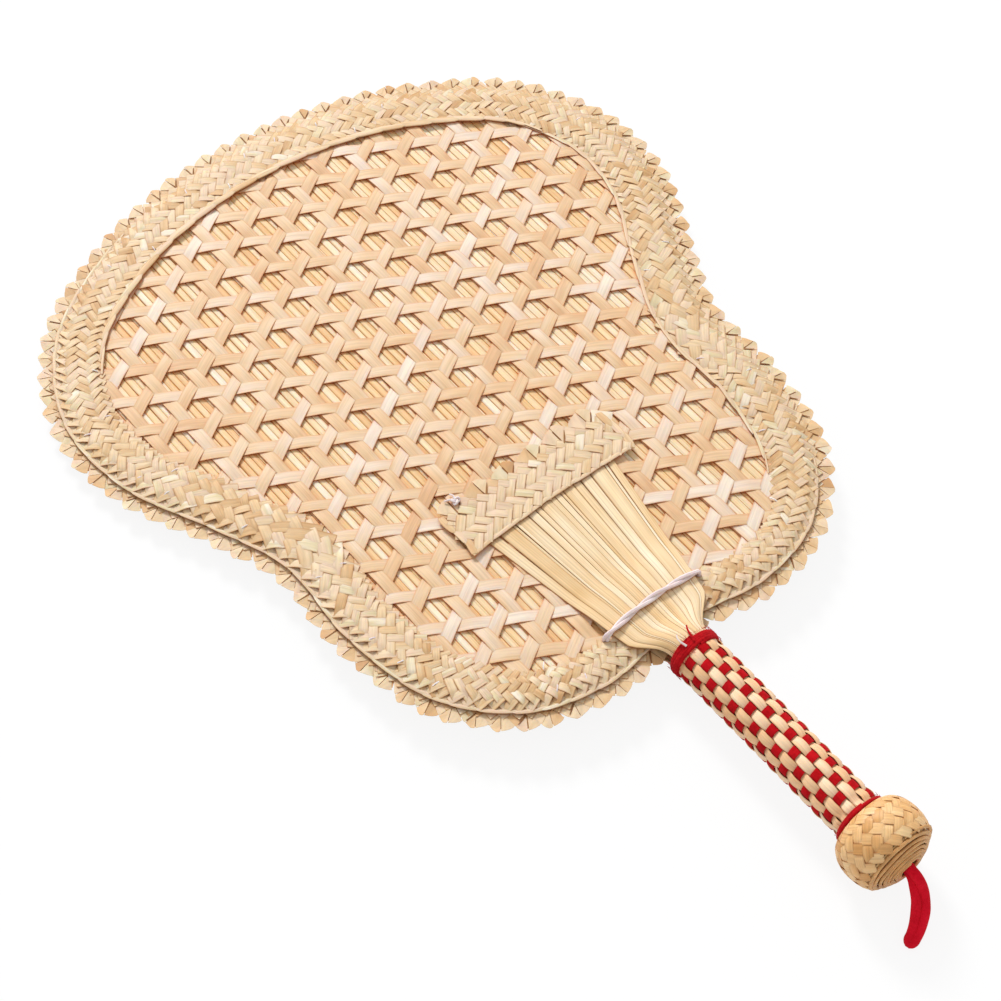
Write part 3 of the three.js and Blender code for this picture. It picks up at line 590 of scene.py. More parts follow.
def weaveStrips(look, face):
    rng = random.Random(look["seed"] + face)
    pitch, row = look["holePitch"], look["rowPitch"]
    x0, y0 = look["middle"]
    loop = insetLoop(look["inset"])
    rimEdge = insetLoop(look["rimInset"])
    slope = np.array([pitch / 2, row]) / math.hypot(pitch / 2, row)
    rows, columns = range(-look["rows"], look["rows"]), range(-look["columns"], look["columns"] + 1)
    lines = [("level", np.array([0.0, y0 + (k + 0.5) * row]), xAxis[:2]) for k in rows]
    for k in columns:
        root = np.array([x0 + (k + 0.5) * pitch, y0])
        lines += [("rising", root, slope), ("falling", root, slope * np.array([-1.0, 1.0]))]
    strips = []
    for kind, root, direction in lines:
        for low, high in clipLine(root, direction, loop):
            if high - low < look["shortest"]:
                continue
            reach = np.linspace(low, high, max(int((high - low) / look["step"]), 4))
            flat = root + reach[:, None] * direction
            drift = wander(reach, *look["drift"], rng) + rng.uniform(-look["aside"], look["aside"])
            flat = flat + drift[:, None] * np.array([-direction[1], direction[0]])
            # two directions cross in each row, and the level strips pass over and under both
            if kind == "level":
                evenRow = round((root[1] - y0) / row - 0.5) % 2 == 0
                first = x0 + (0.25 if evenRow else 0.75) * pitch
                wave = np.cos(2 * math.pi * (flat[:, 0] - first) / pitch)
            else:
                wave = np.cos(2 * math.pi * (flat[:, 1] - y0) / row) * (1 if kind == "falling" else -1)
            fromRim = np.min(np.linalg.norm(flat[:, None, :] - rimEdge[None, :, :], axis=2), axis=1)
            level = mix(look["levelAtRim"], look["level"], smoothStep(fromRim, 0.0, look["easeAtRim"]))
            line = np.column_stack([flat, face * (level + look["swing"] * wave)])
            width = look["stripWidth"] * rng.uniform(*look["widths"])
            width = width * (1 + wander(reach, *look["swell"], rng))
            strips.append(layStrip(line, *frameOf(line, face=face), width, crown=look["crown"],
                                   **grainFrom(rng)))
    return strips


for face, name, node in ((1, "weaveFront", "front_lattice"), (-1, "weaveBack", "back_lattice")):
    bindStrips(name, weaveStrips(openWeave, face), straw["weave"], "pale_straw", [node],
               thickness=openWeave["thickness"])
print("open weave laid")

# core straws between the two weaves, in layers of a level, a half height and a shift in pitches
coreLayer = {
    "pitch": 2.8, "pitches": (0.86, 1.14), "inset": 18.6, "step": 14.0, "halfSpan": 140.0, "shortest": 10,
    "layers": [(0.12, 0.3, 0.0), (-0.22, 0.22, 0.5)], "flatTop": 0.62, "seed": 5,
    "drift": (0.12, 25, 60), "lift": (0.04, 10, 20), "bob": 0.03,
}
rng = random.Random(coreLayer["seed"])
coreLoop = insetLoop(coreLayer["inset"])
cores = []
for level, halfHeight, shift in coreLayer["layers"]:
    y = shift * coreLayer["pitch"] - coreLayer["halfSpan"]
    while y < coreLayer["halfSpan"]:
        pitch = coreLayer["pitch"] * rng.uniform(*coreLayer["pitches"])
        for low, high in clipLine(np.array([0.0, y + pitch / 2]), xAxis[:2], coreLoop):
            if high - low < coreLayer["shortest"]:
                continue
            x = np.linspace(low, high, max(int((high - low) / coreLayer["step"]), 3))
            drift = wander(x, *coreLayer["drift"], rng)
            lift = wander(x, *coreLayer["lift"], rng) + rng.uniform(-coreLayer["bob"], coreLayer["bob"])
            line = np.column_stack([x, y + pitch / 2 + drift, level + lift])
            cores.append(layStrip(line, *frameOf(line), across=12, wrap=(pitch / 2, halfHeight),
                                  flatTop=coreLayer["flatTop"], **grainFrom(rng)))
        y += pitch
bindStrips("coreStraws", cores, straw["core"], "pale_straw", ["core_straws"], close=True)

# braided rim, in front and behind
rimBraid = {
    "strandPitch": 4.7, "thickness": 0.2, "swing": 0.2, "bands": 4.5, "crown": 0.08, "samples": 26,
    "outer": 8.4, "joined": 6.2, "inner": 1.0, "middleInset": 18.0,
    "stray": 0.26, "roll": 0.09, "bob": 0.05, "apart": 0.1, "runs": (0.93, 1.07), "widths": (0.97, 1.1),
    "seed": 21, "hemSeed": 31,
    "sink": 0.35,  # where the strands run on into the folded points
    "tuck": 0.9,  # where the inner edge has no selvage
}
ringLength = edgeLength - 2 * math.pi * rimBraid["middleInset"]
# stretches of the front rim, by the share of the way round: the middle, and where it starts and ends to fade
joinedStretch = (0.83, 0.21, 0.24)  # the front braid runs straight on into the folded points
rolledStretch = (0.99, 0.13, 0.17)  # the inner edge is a rolled selvage


# 1 along a stretch and 0 away from it; the back rim has both all round
def within(stretch, share, face):
    away = np.abs((np.asarray(share, float) - stretch[0] + 0.5) % 1.0 - 0.5)
    return 1.0 - smoothStep(away, *stretch[1:]) if face > 0 else np.ones_like(away)


# height of a strand over its crossing strands: over two, under two
def braidWave(share, bands, sharp=2.2):
    return np.clip(sharp * np.sin(math.pi * bands * share), -1.0, 1.0)


# distance between neighbouring strands, square to them
def ringSpacing(share, inset, count):
    ends = [onEdge(share + shift / count, inset) for shift in (-0.5, 0.5)]
    return np.linalg.norm(ends[1] - ends[0], axis=-1) * math.sqrt(0.5)


def rimStrands(look, face):
    rng = random.Random(look["seed"] + face)
    count = int(round(ringLength / look["strandPitch"]))
    t = np.linspace(0.0, 1.0, look["samples"])
    strips = []
    for i in range(count):
        for lean in (1, -1):
            start = (i + rng.uniform(-look["apart"], look["apart"])) / count
            joined = within(joinedStretch, start, face)
            outer = mix(look["outer"], look["joined"], joined)
            inner = rimWidthAt(start) - look["inner"]
            inset = mix(outer, inner, t)
            share = start + lean * (t - 0.5) * (inner - outer) * rng.uniform(*look["runs"]) / ringLength
            row = (inset - look["outer"]) / (inner - look["outer"])
            row = row + rng.uniform(-1, 1) * look["stray"] / look["bands"]
            wave = look["swing"] * lean * braidWave(row, look["bands"])
            z = rimLevel(inset) + wave + rng.uniform(-look["bob"], look["bob"])
            z -= look["sink"] * joined * (1 - smoothStep(inset, look["joined"], look["outer"] + 1.5))
            loose = 1 - within(rolledStretch, start, face)
            z -= look["tuck"] * loose * smoothStep(inset, inner - 4.0, inner)
            line = np.column_stack([onEdge(share, inset), face * z])
            side, up = rolled(*frameOf(line), rng.uniform(-1, 1) * look["roll"])
            broad = ringSpacing(share, inset, count) * rng.uniform(*look["widths"])
            strips.append(layStrip(line, side, up * face, broad, across=3, crown=look["crown"],
                                   **grainFrom(rng)))
    return strips


# what the laps of all hems share; reach is a lap's half length, in laps
laps = {
    "reach": 0.8, "samples": 9, "stray": 0.12, "bob": 0.04, "thinnest": 0.3, "blunt": 0.3, "least": 0.05,
    "flatTop": 0.7,
}


# long smooth laps along the edge of a braid, each diving under the next
def edgeLaps(spotAt, levelAt, total, look, face, rng):
    count = max(int(round(total / look["length"])), 1)
    t = np.linspace(-laps["reach"], laps["reach"], laps["samples"])
    strips = []
    for i in range(count):
        centre = i + 0.5 + rng.uniform(-laps["stray"], laps["stray"])
        along = np.clip((centre + t) / count * total, 0.0, total)
        flat = spotAt(along, look["slant"] * t)
        # a hem thins out towards its two ends
        nearEnd = min(i + 0.5, count - i - 0.5) * total / count
        thin = mix(laps["thinnest"], 1.0, float(smoothStep(nearEnd, 0.0, look["fade"])))
        taper = np.cos(t / laps["reach"] * math.pi / 2) ** laps["blunt"] * thin
        z = levelAt(along) + look["rise"] - look["dive"] * t + rng.uniform(-laps["bob"], laps["bob"])
        line = np.column_stack([flat, face * z])
        line = line + np.linspace(0, 1e-4, len(t))[:, None]  # keeps clipped points apart
        tone = look["tone"] + look["spread"] * rng.uniform(-1, 1)
        wrap = [look[key] / 2 * taper + laps["least"] for key in ("width", "height")]
        strips.append(layStrip(line, *frameOf(line, face=face), across=10, tone=tone, wrap=wrap,
                               flatTop=laps["flatTop"], uStart=rng.uniform(0, 500)))
    return strips


rimHems = {
    "outer": {
        "start": 0.07, "end": 0.61, "inset": 7.7, "length": 11.0, "slant": 0.5, "rise": 0.12, "dive": 0.12,
        "width": 1.7, "height": 0.5, "tone": 0.84, "spread": 0.14, "fade": 20.0,
    },
    "band": {
        "start": 0.07, "end": 0.61, "inset": 9.7, "length": 12.0, "slant": 1.0, "rise": -0.42, "dive": 0.1,
        "width": 4.6, "height": 0.24, "tone": 0.6, "spread": 0.3, "fade": 20.0,
    },
    "rolled": {
        "start": 0.84, "end": 1.16, "inset": 26.9, "length": 12.0, "slant": -0.9, "rise": 0.14, "dive": 0.22,
        "width": 2.9, "height": 0.9, "tone": 0.6, "spread": 0.3, "fade": 45.0,
    },
    "thin": {
        "start": 0.6, "end": 0.86, "inset": 27.3, "length": 15.0, "slant": -0.8, "rise": -0.45, "dive": 0.15,
        "width": 1.6, "height": 0.4, "tone": 0.8, "spread": 0.2, "fade": 30.0,
    },
}


def rimHem(look, face, rng):
    def spotAt(along, shift):
        share = look["start"] + along / ringLength
        inset = look["inset"]
        if inset > rimBraid["middleInset"]:  # a hem of the inner edge follows the rim's width
            inset = rimWidthAt(share) - (leafShape["rimWidth"][1] - inset)
        return onEdge(share, inset + shift)

    def levelAt(along):
        return rimLevel(np.full(len(along), look["inset"]))

    return edgeLaps(spotAt, levelAt, (look["end"] - look["start"]) * ringLength, look, face, rng)


rng = random.Random(rimBraid["hemSeed"])
backHem = dict(rimHems["rolled"], start=0.0, end=1.0, fade=0.1)
for face, strandName, hemName, looks, node in (
        (1, "rimBraidFrontStrands", "rimBraidFrontEdges", rimHems.values(), "front_rim_braid"),
        (-1, "rimBraidBackStrands", "rimBraidBackEdge", [backHem], "back_rim_braid")):
    bindStrips(strandName, rimStrands(rimBraid, face), straw["rim"], "pale_straw", [node],
               thickness=rimBraid["thickness"], smooth=25)
    hem = [lap for look in looks for lap in rimHem(look, face, rng)]
    bindStrips(hemName, hem, straw["rim"], "pale_straw", [node], close=True)
print("rim braided")

# white stitches that sew the two braids together
stitches = {
    "insets": (13.2, 23.6), "spacing": 17.0, "length": 3.0, "thick": 0.22, "rise": 0.34, "arch": 1.6,
    "shown": 0.3, "clearOfHandle": 0.04, "slants": (0.1, 0.7), "aside": 0.6, "seed": 37,
}
rng = random.Random(stitches["seed"])
t = np.linspace(-0.5, 0.5, 7)
sewn = []
for inset in stitches["insets"]:
    count = int(edgeLength / stitches["spacing"])
    for i in range(count):
        share = (i + rng.uniform(-0.18, 0.18)) / count
        if abs(share - 0.5) < stitches["clearOfHandle"] or rng.random() > stitches["shown"]:
            continue
        along = t * stitches["length"] * rng.uniform(*stitches["slants"]) / edgeLength
        aside = rng.uniform(-stitches["aside"], stitches["aside"])
        flat = onEdge(share + along, inset + t * stitches["length"] + aside)
        level = rimLevel(inset) + stitches["rise"] - stitches["arch"] * t**2
        for face in (1, -1):
            line = np.column_stack([flat, face * level])
            sewn.append(layStrip(line, *frameOf(line, face=face), across=6, tone=rng.uniform(0.5, 1.0),
                                 wrap=(stitches["thick"] * 1.25, stitches["thick"])))
bindStrips("rimStitches", sewn, straw["thread"], "white_thread", [], close=True)

# folded points round the edge, each of two panels that meet in a crease; lengths along and out from its base
rimPoints = {
    "pitch": 9.9, "base": 6.35, "apart": -0.45, "joined": 0.3, "bob": 0.06, "squeeze": 0.97, "seed": 41,
    "thickness": 0.22, "creaseShadeThickness": 0.08,
    "creaseShadeShown": (0.25, 1.0),  # share of the painted crease shadows that show, apart and joined
    "fibreLie": 0.75,  # radians off the edge
    "wide": [(5.3, 3.5), (4.6, 4.2), (3.3, 4.9), (1.9, 5.4), (0.45, 5.9)],
    "narrow": [(0.2, 6.0), (-0.5, 6.25), (-1.4, 6.2), (-2.6, 5.3), (-3.7, 4.2)],
    "between": [(-3.8, 4.0), (-4.5, 3.6), (-5.6, 2.2), (-7.0, 0.8), (-8.4, -0.5)],
    "under": [(4.6, 2.4), (2.6, 4.2), (0.6, 5.0), (-1.4, 4.8), (-3.2, 3.2)],
    "creaseShadeLines": [((0.1, -0.5), (0.35, 5.5), 0.2), ((0.0, -0.3), (-3.5, 3.7), 0.24)],  # from, to and lift
}


# a thin panel between an inner edge and an outer one; spotAt gives places, levels are those of its corners
def foldPanel(spotAt, inner, outer, levels, face, tone, uStart):
    outer = np.array(outer)
    columns = len(outer) - 1
    panel, flat = gridCopy(3, columns)
    row = (flat[:, 0] + 1) / 2
    column = np.rint((flat[:, 1] + 1) / 2 * columns).astype(int)
    across = column / columns
    near = mix(np.array(inner[0]), np.array(inner[1]), across[:, None])
    spot = mix(near, outer[column], row[:, None])
    z = mix(mix(*levels[0], across), mix(*levels[1], across), row)
    # the fibres run parallel, at a slant to the edge
    lie = rimPoints["fibreLie"] * (1 if levels[0][0] < levels[0][1] else -1)
    along = spot[:, 0] * math.cos(lie) + spot[:, 1] * math.sin(lie)
    over = spot[:, 1] * math.cos(lie) - spot[:, 0] * math.sin(lie)
    points = np.column_stack([spotAt(spot[:, 0], spot[:, 1]), face * z])
    return shapeGrid(panel, points, uStart + along, 0.5 + 0.3 * over / (1.0 + np.max(np.abs(over))), tone)


# one folded point: a wide panel, a narrow one over it, the strand to the next point and the layer under all
def foldedPoint(spotAt, look, level, rng, face):
    stray = [rng.uniform(-0.35, 0.35) for _ in range(4)]
    tilt = rng.uniform(0.1, 0.32)

    def moved(points):
        reach = [0.4] + [1.0] * (len(points) - 2) + [0.4]  # the ends stay nearer their place
        return [(x + stray[0], y + stray[1] * share) for (x, y), share in zip(points, reach)]

    def panelOf(inner, outer, *levels, **grain):
        levels = [[level + shift for shift in pair] for pair in levels]
        return foldPanel(spotAt, inner, outer, levels, face, **(grain or grainFrom(rng)))

    wide = panelOf(((1.5, -0.7), (0.15, -0.1)), moved(look["wide"]), (-0.05, 0.0), (-tilt, 0.05))
    narrow = panelOf(((-0.05, 0.0), (-0.3, -0.25)), moved(look["narrow"]), (0.12, 0.05), (0.22, -tilt))
    between = panelOf(((-0.5, -0.4), (-3.6, -4.6)), look["between"], (-0.1, -0.2), (-0.3, -0.15))
    under = panelOf(((2.2, -2.6), (-3.0, -2.6)), look["under"], (-0.3, -0.3), (-0.5, -0.5),
                    tone=0.1, uStart=rng.uniform(0, 500))
    return [wide, narrow, between, under]


# painted shadow lines of a point: thin dark strips up its crease, and from its base to the next notch, where
# the folds lie in shade
def pointCreaseShades(spotAt, level, rng, face, shown=1.0):
    t = np.linspace(0.0, 1.0, 5)
    lines = []
    for (a0, o0), (a1, o1), lift in rimPoints["creaseShadeLines"]:
        if rng.random() > shown:
            continue
        reach = t * rng.uniform(0.8, 1.0)
        spot = spotAt(mix(a0, a1, reach), mix(o0, o1, reach))
        line = np.column_stack([spot, np.full(5, face * (level + lift))])
        lines.append(layStrip(line, *frameOf(line, face=face), 0.62 - 0.4 * t, across=2, crown=0.02,
                              **grainFrom(rng)))
    return lines


points, creaseShadeLines = [], []
rng = random.Random(rimPoints["seed"])
count = int(round(edgeLength / rimPoints["pitch"]))
for i in range(count):
    centre = (i + 0.5 + rng.uniform(-0.05, 0.05)) / count
    step = 1.0 + rng.uniform(-0.05, 0.05)
    joined = float(within(joinedStretch, centre, 1))
    level = mix(rimPoints["apart"], rimPoints["joined"], joined)
    level += rimPoints["bob"] * (rng.uniform(-1, 1) + (1 if i % 2 else -1))  # every other point lies higher

    def spotAt(along, out):
        return onEdge(centre + along * step / edgeLength, rimPoints["base"] - out * rimPoints["squeeze"])

    points += foldedPoint(spotAt, rimPoints, level, rng, 1)
    creaseShadeLines += pointCreaseShades(spotAt, level, rng, 1, mix(*rimPoints["creaseShadeShown"], joined))
bindStrips("rimPoints", points, straw["rim"], "pale_straw", ["back_rim_braid"],
           thickness=rimPoints["thickness"], smooth=15)
# thin dark strips that paint the shadow in each point's creases
bindStrips("rimPointCreaseShades", creaseShadeLines, straw["creaseShade"], "pale_straw", ["back_rim_braid"],
           thickness=rimPoints["creaseShadeThickness"])
print("points folded")

# splayed straws over the leaf, from the handle's collar to the crest braid
splay = {
    "count": 17, "handleX": -168.3, "collarWidth": 4.4, "length": 102.0, "widthAtCrest": 68.0,
    "widthAtRim": 38.5, "arcFront": 74.0, "arcBack": 58.0,
    "rise": 12.0, "flat": 20.0, "drop": 34.0, "ease": 14.0,
    "atRim": 3.15, "atCrest": 1.65, "inner": 8.3, "outer": 9.1, "drift": -2.1, "lift": 0.42, "seed": 51,
    "shares": (0.35, 0.7, 1.0, 1.4, 1.9),  # straws of uneven width share the broom's spread between them
    "openFrom": 25.0, "gaps": (0.02, 0.05, 0.09, 0.16), "halfThick": 0.4, "flatTop": 0.55,
    "stray": 0.25, "bob": (-0.08, 0.1), "roll": 0.05,
}


def splayWidth(s):
    atCollar = 2 * splay["outer"]
    early = mix(atCollar, splay["widthAtRim"], np.sin(np.minimum(s / splay["flat"], 1) * math.pi / 2))
    rest = np.maximum(s - splay["flat"], 0) / (splay["length"] - splay["flat"])
    return early + (splay["widthAtCrest"] - splay["widthAtRim"]) * rest


# a point of the broom: s along it, share of the way across; round at the collar, flat over the leaf
def splayPoint(s, share, arc):
    radius = splay["inner"] + splay["lift"]
    roundY, roundZ = radius * np.sin(share * arc), radius * np.cos(share * arc)
    flatY = share * splayWidth(s) / 2 + splay["drift"] * (s / splay["length"])
    settle = smoothStep(s, splay["drop"], splay["drop"] + splay["ease"])
    flatZ = mix(splay["atRim"], splay["atCrest"], settle) + splay["lift"]
    riseEnd = np.where(roundZ < flatZ, splay["rise"], splay["flat"])
    y = mix(roundY, flatY, smoothStep(s, splay["collarWidth"], splay["flat"]))
    z = mix(roundZ, flatZ, smoothStep(s, splay["collarWidth"], riseEnd))
    return np.column_stack([splay["handleX"] + s, y, z])


def splayStraws(face, arcDegrees):
    rng = random.Random(splay["seed"] + face)
    arc = math.radians(arcDegrees)
    s = np.concatenate([np.linspace(0, 34, 18), np.linspace(38, splay["length"], 16)])
    opening = smoothStep(s, splay["openFrom"], splay["length"])
    flip = np.array([1.0, 1.0, face])
    cuts = np.cumsum([0.0] + [rng.choice(splay["shares"]) for _ in range(splay["count"])])
    cuts = 2 * cuts / cuts[-1] - 1
    strips = []
    for low, high in zip(cuts[:-1], cuts[1:]):
        a, b = splayPoint(s, low, arc), splayPoint(s, high, arc)
        line = (a + b) / 2
        line[:, 1] += opening * rng.uniform(-splay["stray"], splay["stray"])
        line[:, 2] += rng.uniform(*splay["bob"])
        width = np.linalg.norm(b - a, axis=1)
        side = unit(b - a)
        up = unit(np.cross(np.gradient(line, axis=0), side))
        side, up = rolled(side, up, rng.uniform(-splay["roll"], splay["roll"]))
        wrap = (width / 2 * (1.04 - opening * rng.choice(splay["gaps"])), splay["halfThick"])
        strips.append(layStrip(line * flip, side * flip, up * flip, across=16, wrap=wrap,
                               flatTop=splay["flatTop"], **grainFrom(rng)))
    return strips


for face, name, arc, node in ((1, "splayStrawsFront", splay["arcFront"], "front_splay_straw_%02d"),
                              (-1, "splayStrawsBack", splay["arcBack"], "back_splay_straw_%02d")):
    bindStrips(name, splayStraws(face, arc), straw["glossy"], "glossy_straw",
               [node % (i + 1) for i in range(13)], close=True)
print("straws splayed")

# crest braid across the straws' ends
crest = {
    "x": -82.3, "depth": 18.0, "left": 38.0, "right": -43.5, "middle": -2.5, "level": 3.4, "strandPitch": 4.9,
    "thickness": 0.22, "swing": 0.22, "bands": 3.6, "crown": 0.08, "stray": 0.25, "seed": 61, "sag": 2.0,
    "teeth": 6, "tall": (1.18, 1.4), "near": 1.0, "far": 0.6, "samples": 24, "foldedDown": 0.35,
    "roll": 0.09, "bob": 0.06, "apart": 0.1, "widths": (0.97, 1.1), "tones": (0.4, 1.0),
    "hem": {
        "length": 13.0, "slant": 0.5, "rise": -0.04, "dive": 0.1, "width": 1.8, "height": 0.55, "tone": 0.62,
        "spread": 0.3, "fade": 0.1,
    },
    "end": {
        "length": 6.5, "slant": 0.8, "rise": 0.05, "dive": 0.15, "width": 3.0, "height": 0.45, "tone": 0.6,
        "spread": 0.35, "fade": 0.1,
    },
}
crestWidth = crest["left"] - crest["right"]


# a point of the crest braid: along from its left end, deep from its near edge
def crestSpot(along, deep):
    y = crest["left"] - np.asarray(along, float)
    bow = -crest["sag"] * (2 * (y - crest["middle"]) / crestWidth) ** 2
    return np.column_stack([crest["x"] + deep + bow * (1 - deep / crest["depth"]), y])


def crestStrands(face):
    rng = random.Random(crest["seed"] + face)
    depth = crest["depth"] - crest["far"]
    broad = crest["strandPitch"] * math.sqrt(0.5)
    strips = []
    for i in range(-4, int(crestWidth / crest["strandPitch"]) + 5):
        for lean in (1, -1):
            t = np.linspace(0.0, 1.0, crest["samples"])
            start = (i + 0.5 + rng.uniform(-crest["apart"], crest["apart"])) * crest["strandPitch"]
            along = start + lean * (t - 0.5) * depth
            ends = 0.6 + 1.2 * abs(math.sin(i * 1.7))  # the strands are cut unevenly
            keep = (along > ends) & (along < crestWidth - ends)
            if keep.sum() < 5:
                continue
            t, along = t[keep], along[keep]
            wave = braidWave(t + rng.uniform(-1, 1) * crest["stray"] / crest["bands"], crest["bands"])
            z = crest["level"] + crest["swing"] * lean * wave + rng.uniform(-crest["bob"], crest["bob"])
            # the cut ends are folded down under the braid
            z -= crest["foldedDown"] * (1 - smoothStep(np.minimum(along, crestWidth - along), 0.6, 3.0))
            line = np.column_stack([crestSpot(along, crest["near"] + t * depth), face * z])
            side, up = rolled(*frameOf(line), rng.uniform(-crest["roll"], crest["roll"]))
            width = broad * rng.uniform(*crest["widths"])
            tone = mix(*crest["tones"], rng.random())
            strips.append(layStrip(line, side, up * face, width, across=3, crown=crest["crown"], tone=tone,
                                   uStart=rng.uniform(0, 500)))
    return strips


def crestHem(face):
    rng = random.Random(crest["seed"] + 7 + face)

    def nearAt(along, shift):
        return crestSpot(along + 0.4, 0.95 + shift + 0.15 * np.sin(along / 5.1))

    def leftAt(along, shift):
        return crestSpot(1.6 + shift + 0.8 * np.sin(along / 4.0), along + 0.6)

    def rightAt(along, shift):
        return crestSpot(crestWidth - 1.6 + shift + 0.8 * np.sin(along / 5.0), along + 0.6)

    def levelAt(along):
        return np.full(len(along), crest["level"])

    hem = edgeLaps(nearAt, levelAt, crestWidth - 0.8, crest["hem"], face, rng)
    for endAt in (leftAt, rightAt):
        hem += edgeLaps(endAt, levelAt, crest["depth"] + 1.0, crest["end"], face, rng)
    return hem


# the far edge's folded points, as those of the rim but larger
def crestTeeth(face):
    rng = random.Random(crest["seed"] + 13 + face)
    strips, lines = [], []
    step = (crestWidth - 3.0) / crest["teeth"]
    grow = step / rimPoints["pitch"]
    level = crest["level"] - 0.05
    for i in range(crest["teeth"]):
        centre = 1.5 + (i + 0.5) * step + rng.uniform(-0.5, 0.5)
        tall = rng.uniform(*crest["tall"])

        def spotAt(along, out):
            return crestSpot(centre - along * grow, crest["depth"] - crest["far"] + out * tall)

        strips += foldedPoint(spotAt, rimPoints, level, rng, face)
        lines += pointCreaseShades(spotAt, level, rng, face)
    return strips, lines


for face, label, node in ((1, "Front", "front_crest_braid"), (-1, "Back", "back_crest_braid")):
    teeth, lines = crestTeeth(face)
    bindStrips("crest" + label + "Strands", crestStrands(face) + teeth, straw["rim"], "pale_straw", [node],
               thickness=crest["thickness"], smooth=25)
    # the crest's points get the same painted crease shadows
    bindStrips("crest" + label + "CreaseShades", lines, straw["creaseShade"], "pale_straw", [node],
               thickness=rimPoints["creaseShadeThickness"])
    bindStrips("crest" + label + "Hem", crestHem(face), straw["rim"], "pale_straw", [node], close=True)
print("crest braided")

# handle: splints and the red ribbon woven round them
handle = {
    "count": 15, "fromX": -168.3, "length": 83.2, "middle": 9.05, "swing": 0.62, "splintThickness": 0.75,
    "ribbonWidth": 3.5, "ribbonThickness": 0.3, "pitch": 5.7, "margin": 1.9, "easeAtEnds": 2.5,
    "cushion": (0.93, 0.1), "flatTop": 0.85, "stray": 0.012, "seed": 71,
}


# a line wound round the handle's axis, and its outward direction
def wound(x, radius, theta):
    out = np.column_stack([np.zeros_like(theta), np.sin(theta), np.cos(theta)])
    return np.column_stack([x, radius * out[:, 1], radius * out[:, 2]]), out


def alongAxis(line):
    return np.tile(xAxis, (len(line), 1))


weaveStart = handle["fromX"] - handle["margin"]
handleEnd = handle["fromX"] - handle["length"]
rng = random.Random(handle["seed"])
splints = []
x = np.linspace(handle["fromX"], handleEnd, 144)
ease = handle["easeAtEnds"]
ends = smoothStep(handle["fromX"] - x, 0.0, ease) * smoothStep(x - handleEnd, 0.0, ease)
for j in range(handle["count"]):
    place = 2 * math.pi * j / handle["count"] + rng.uniform(-handle["stray"], handle["stray"])
    angle = np.full(len(x), place)
    turns = (weaveStart - x) / handle["pitch"] - j / handle["count"]
    wave = -np.cos(math.pi * turns + math.pi * j)
    line, out = wound(x, handle["middle"] + handle["swing"] * rounder(wave, 0.8) * ends, angle)
    side = np.column_stack([np.zeros_like(x), np.cos(angle), -np.sin(angle)])
    # each float is a little cushion, narrower where it dives under the ribbon
    narrow, swell = handle["cushion"]
    width = 2 * math.pi * handle["middle"] / handle["count"] * (narrow + swell * smoothStep(wave, -0.2, 0.8))
    splints.append(layStrip(line, side, out, across=12, wrap=(width / 2, handle["splintThickness"] / 2),
                            flatTop=handle["flatTop"], **grainFrom(rng)))
bindStrips("handleSplints", splints, straw["splint"], "glossy_straw",
           ["handle_splint_%02d" % (i + 1) for i in range(handle["count"])], close=True)

turnsTotal = (handle["length"] - 2 * handle["margin"]) / handle["pitch"]
theta = np.linspace(-0.3, turnsTotal * 2 * math.pi, int(turnsTotal * handle["count"] * 8))
radius = handle["middle"] + 0.1 + handle["swing"] * 0.8 * rounder(np.cos(handle["count"] / 2 * theta), 0.6)
line, out = wound(weaveStart - theta / (2 * math.pi) * handle["pitch"], radius, theta)
ribbon = layStrip(line, alongAxis(line), out, handle["ribbonWidth"], crown=0.12)
bindStrips("handleRibbonWeave", [ribbon], red["ribbon"], "red_ribbon", ["handle_ribbon"],
           thickness=handle["ribbonThickness"])

# red rings at the handle's two ends: turns of soft yarn pressed together, with a fuzz of short hairs
rings = {
    "collarWrap": {
        "fromX": -164.4, "toX": -168.3, "inner": 8.9, "outer": 10.7, "turns": 5, "thread": 1.3, "hairs": 260,
        "seed": 3, "node": "upper_collar",
    },
    "lowerRingWrap": {
        "fromX": -251.9, "toX": -253.0, "inner": 9.0, "outer": 10.9, "turns": 2, "thread": 1.2, "hairs": 60,
        "seed": 4, "node": "lower_ring",
    },
}
yarn = {"broad": 0.66, "high": 0.55}  # half sizes, as shares of the thread
hairs = {"length": (0.4, 1.9), "lift": 0.35, "sway": 0.12, "thick": 0.09, "taper": 0.7}


def wrapRing(look):
    rng = random.Random(look["seed"])
    fromX, toX = look["fromX"], look["toX"]
    theta = np.linspace(0.0, look["turns"] * 2 * math.pi, int(look["turns"] * 48))
    # the yarn wanders a little over its width
    x = mix(fromX, toX, np.linspace(0.0, 1.0, len(theta)))
    x = x + 0.12 * np.sin(theta * 1.7 + 1) + 0.08 * np.sin(theta * 3.1)
    swell = np.sin(math.pi * np.linspace(0.06, 0.94, len(theta))) ** 0.35
    wrap = (look["thread"] * yarn["broad"], look["thread"] * yarn["high"])
    radius = mix(look["inner"], look["outer"] - wrap[1], swell) + 0.06 * np.sin(theta * 2.3)
    line, out = wound(x, radius, theta)
    strips = [layStrip(line, alongAxis(line), out, across=10, wrap=wrap)]
    t = np.linspace(0.0, 1.0, 4)
    for _ in range(look["hairs"]):
        angle = rng.uniform(0, 2 * math.pi)
        edge = rng.choice([fromX + 0.2, toX - 0.2, rng.uniform(toX, fromX)])
        lean = rng.uniform(*hairs["length"]) * (1 if edge > (fromX + toX) / 2 else -1)
        radius = look["outer"] - 0.25 + rng.uniform(0.0, hairs["lift"]) * t
        hair, _ = wound(edge + lean * t, radius, angle + rng.uniform(-hairs["sway"], hairs["sway"]) * t)
        up = np.tile([0.0, math.sin(angle), math.cos(angle)], (4, 1))
        side = np.tile([0.0, math.cos(angle), -math.sin(angle)], (4, 1))
        thin = hairs["thick"] * (1 - hairs["taper"] * t)
        strips.append(layStrip(hair, side, up, wrap=(thin, thin)))
    return strips


for name, look in rings.items():
    bindStrips(name, wrapRing(look), red["felt"], "red_ribbon", [look["node"]], close=True)

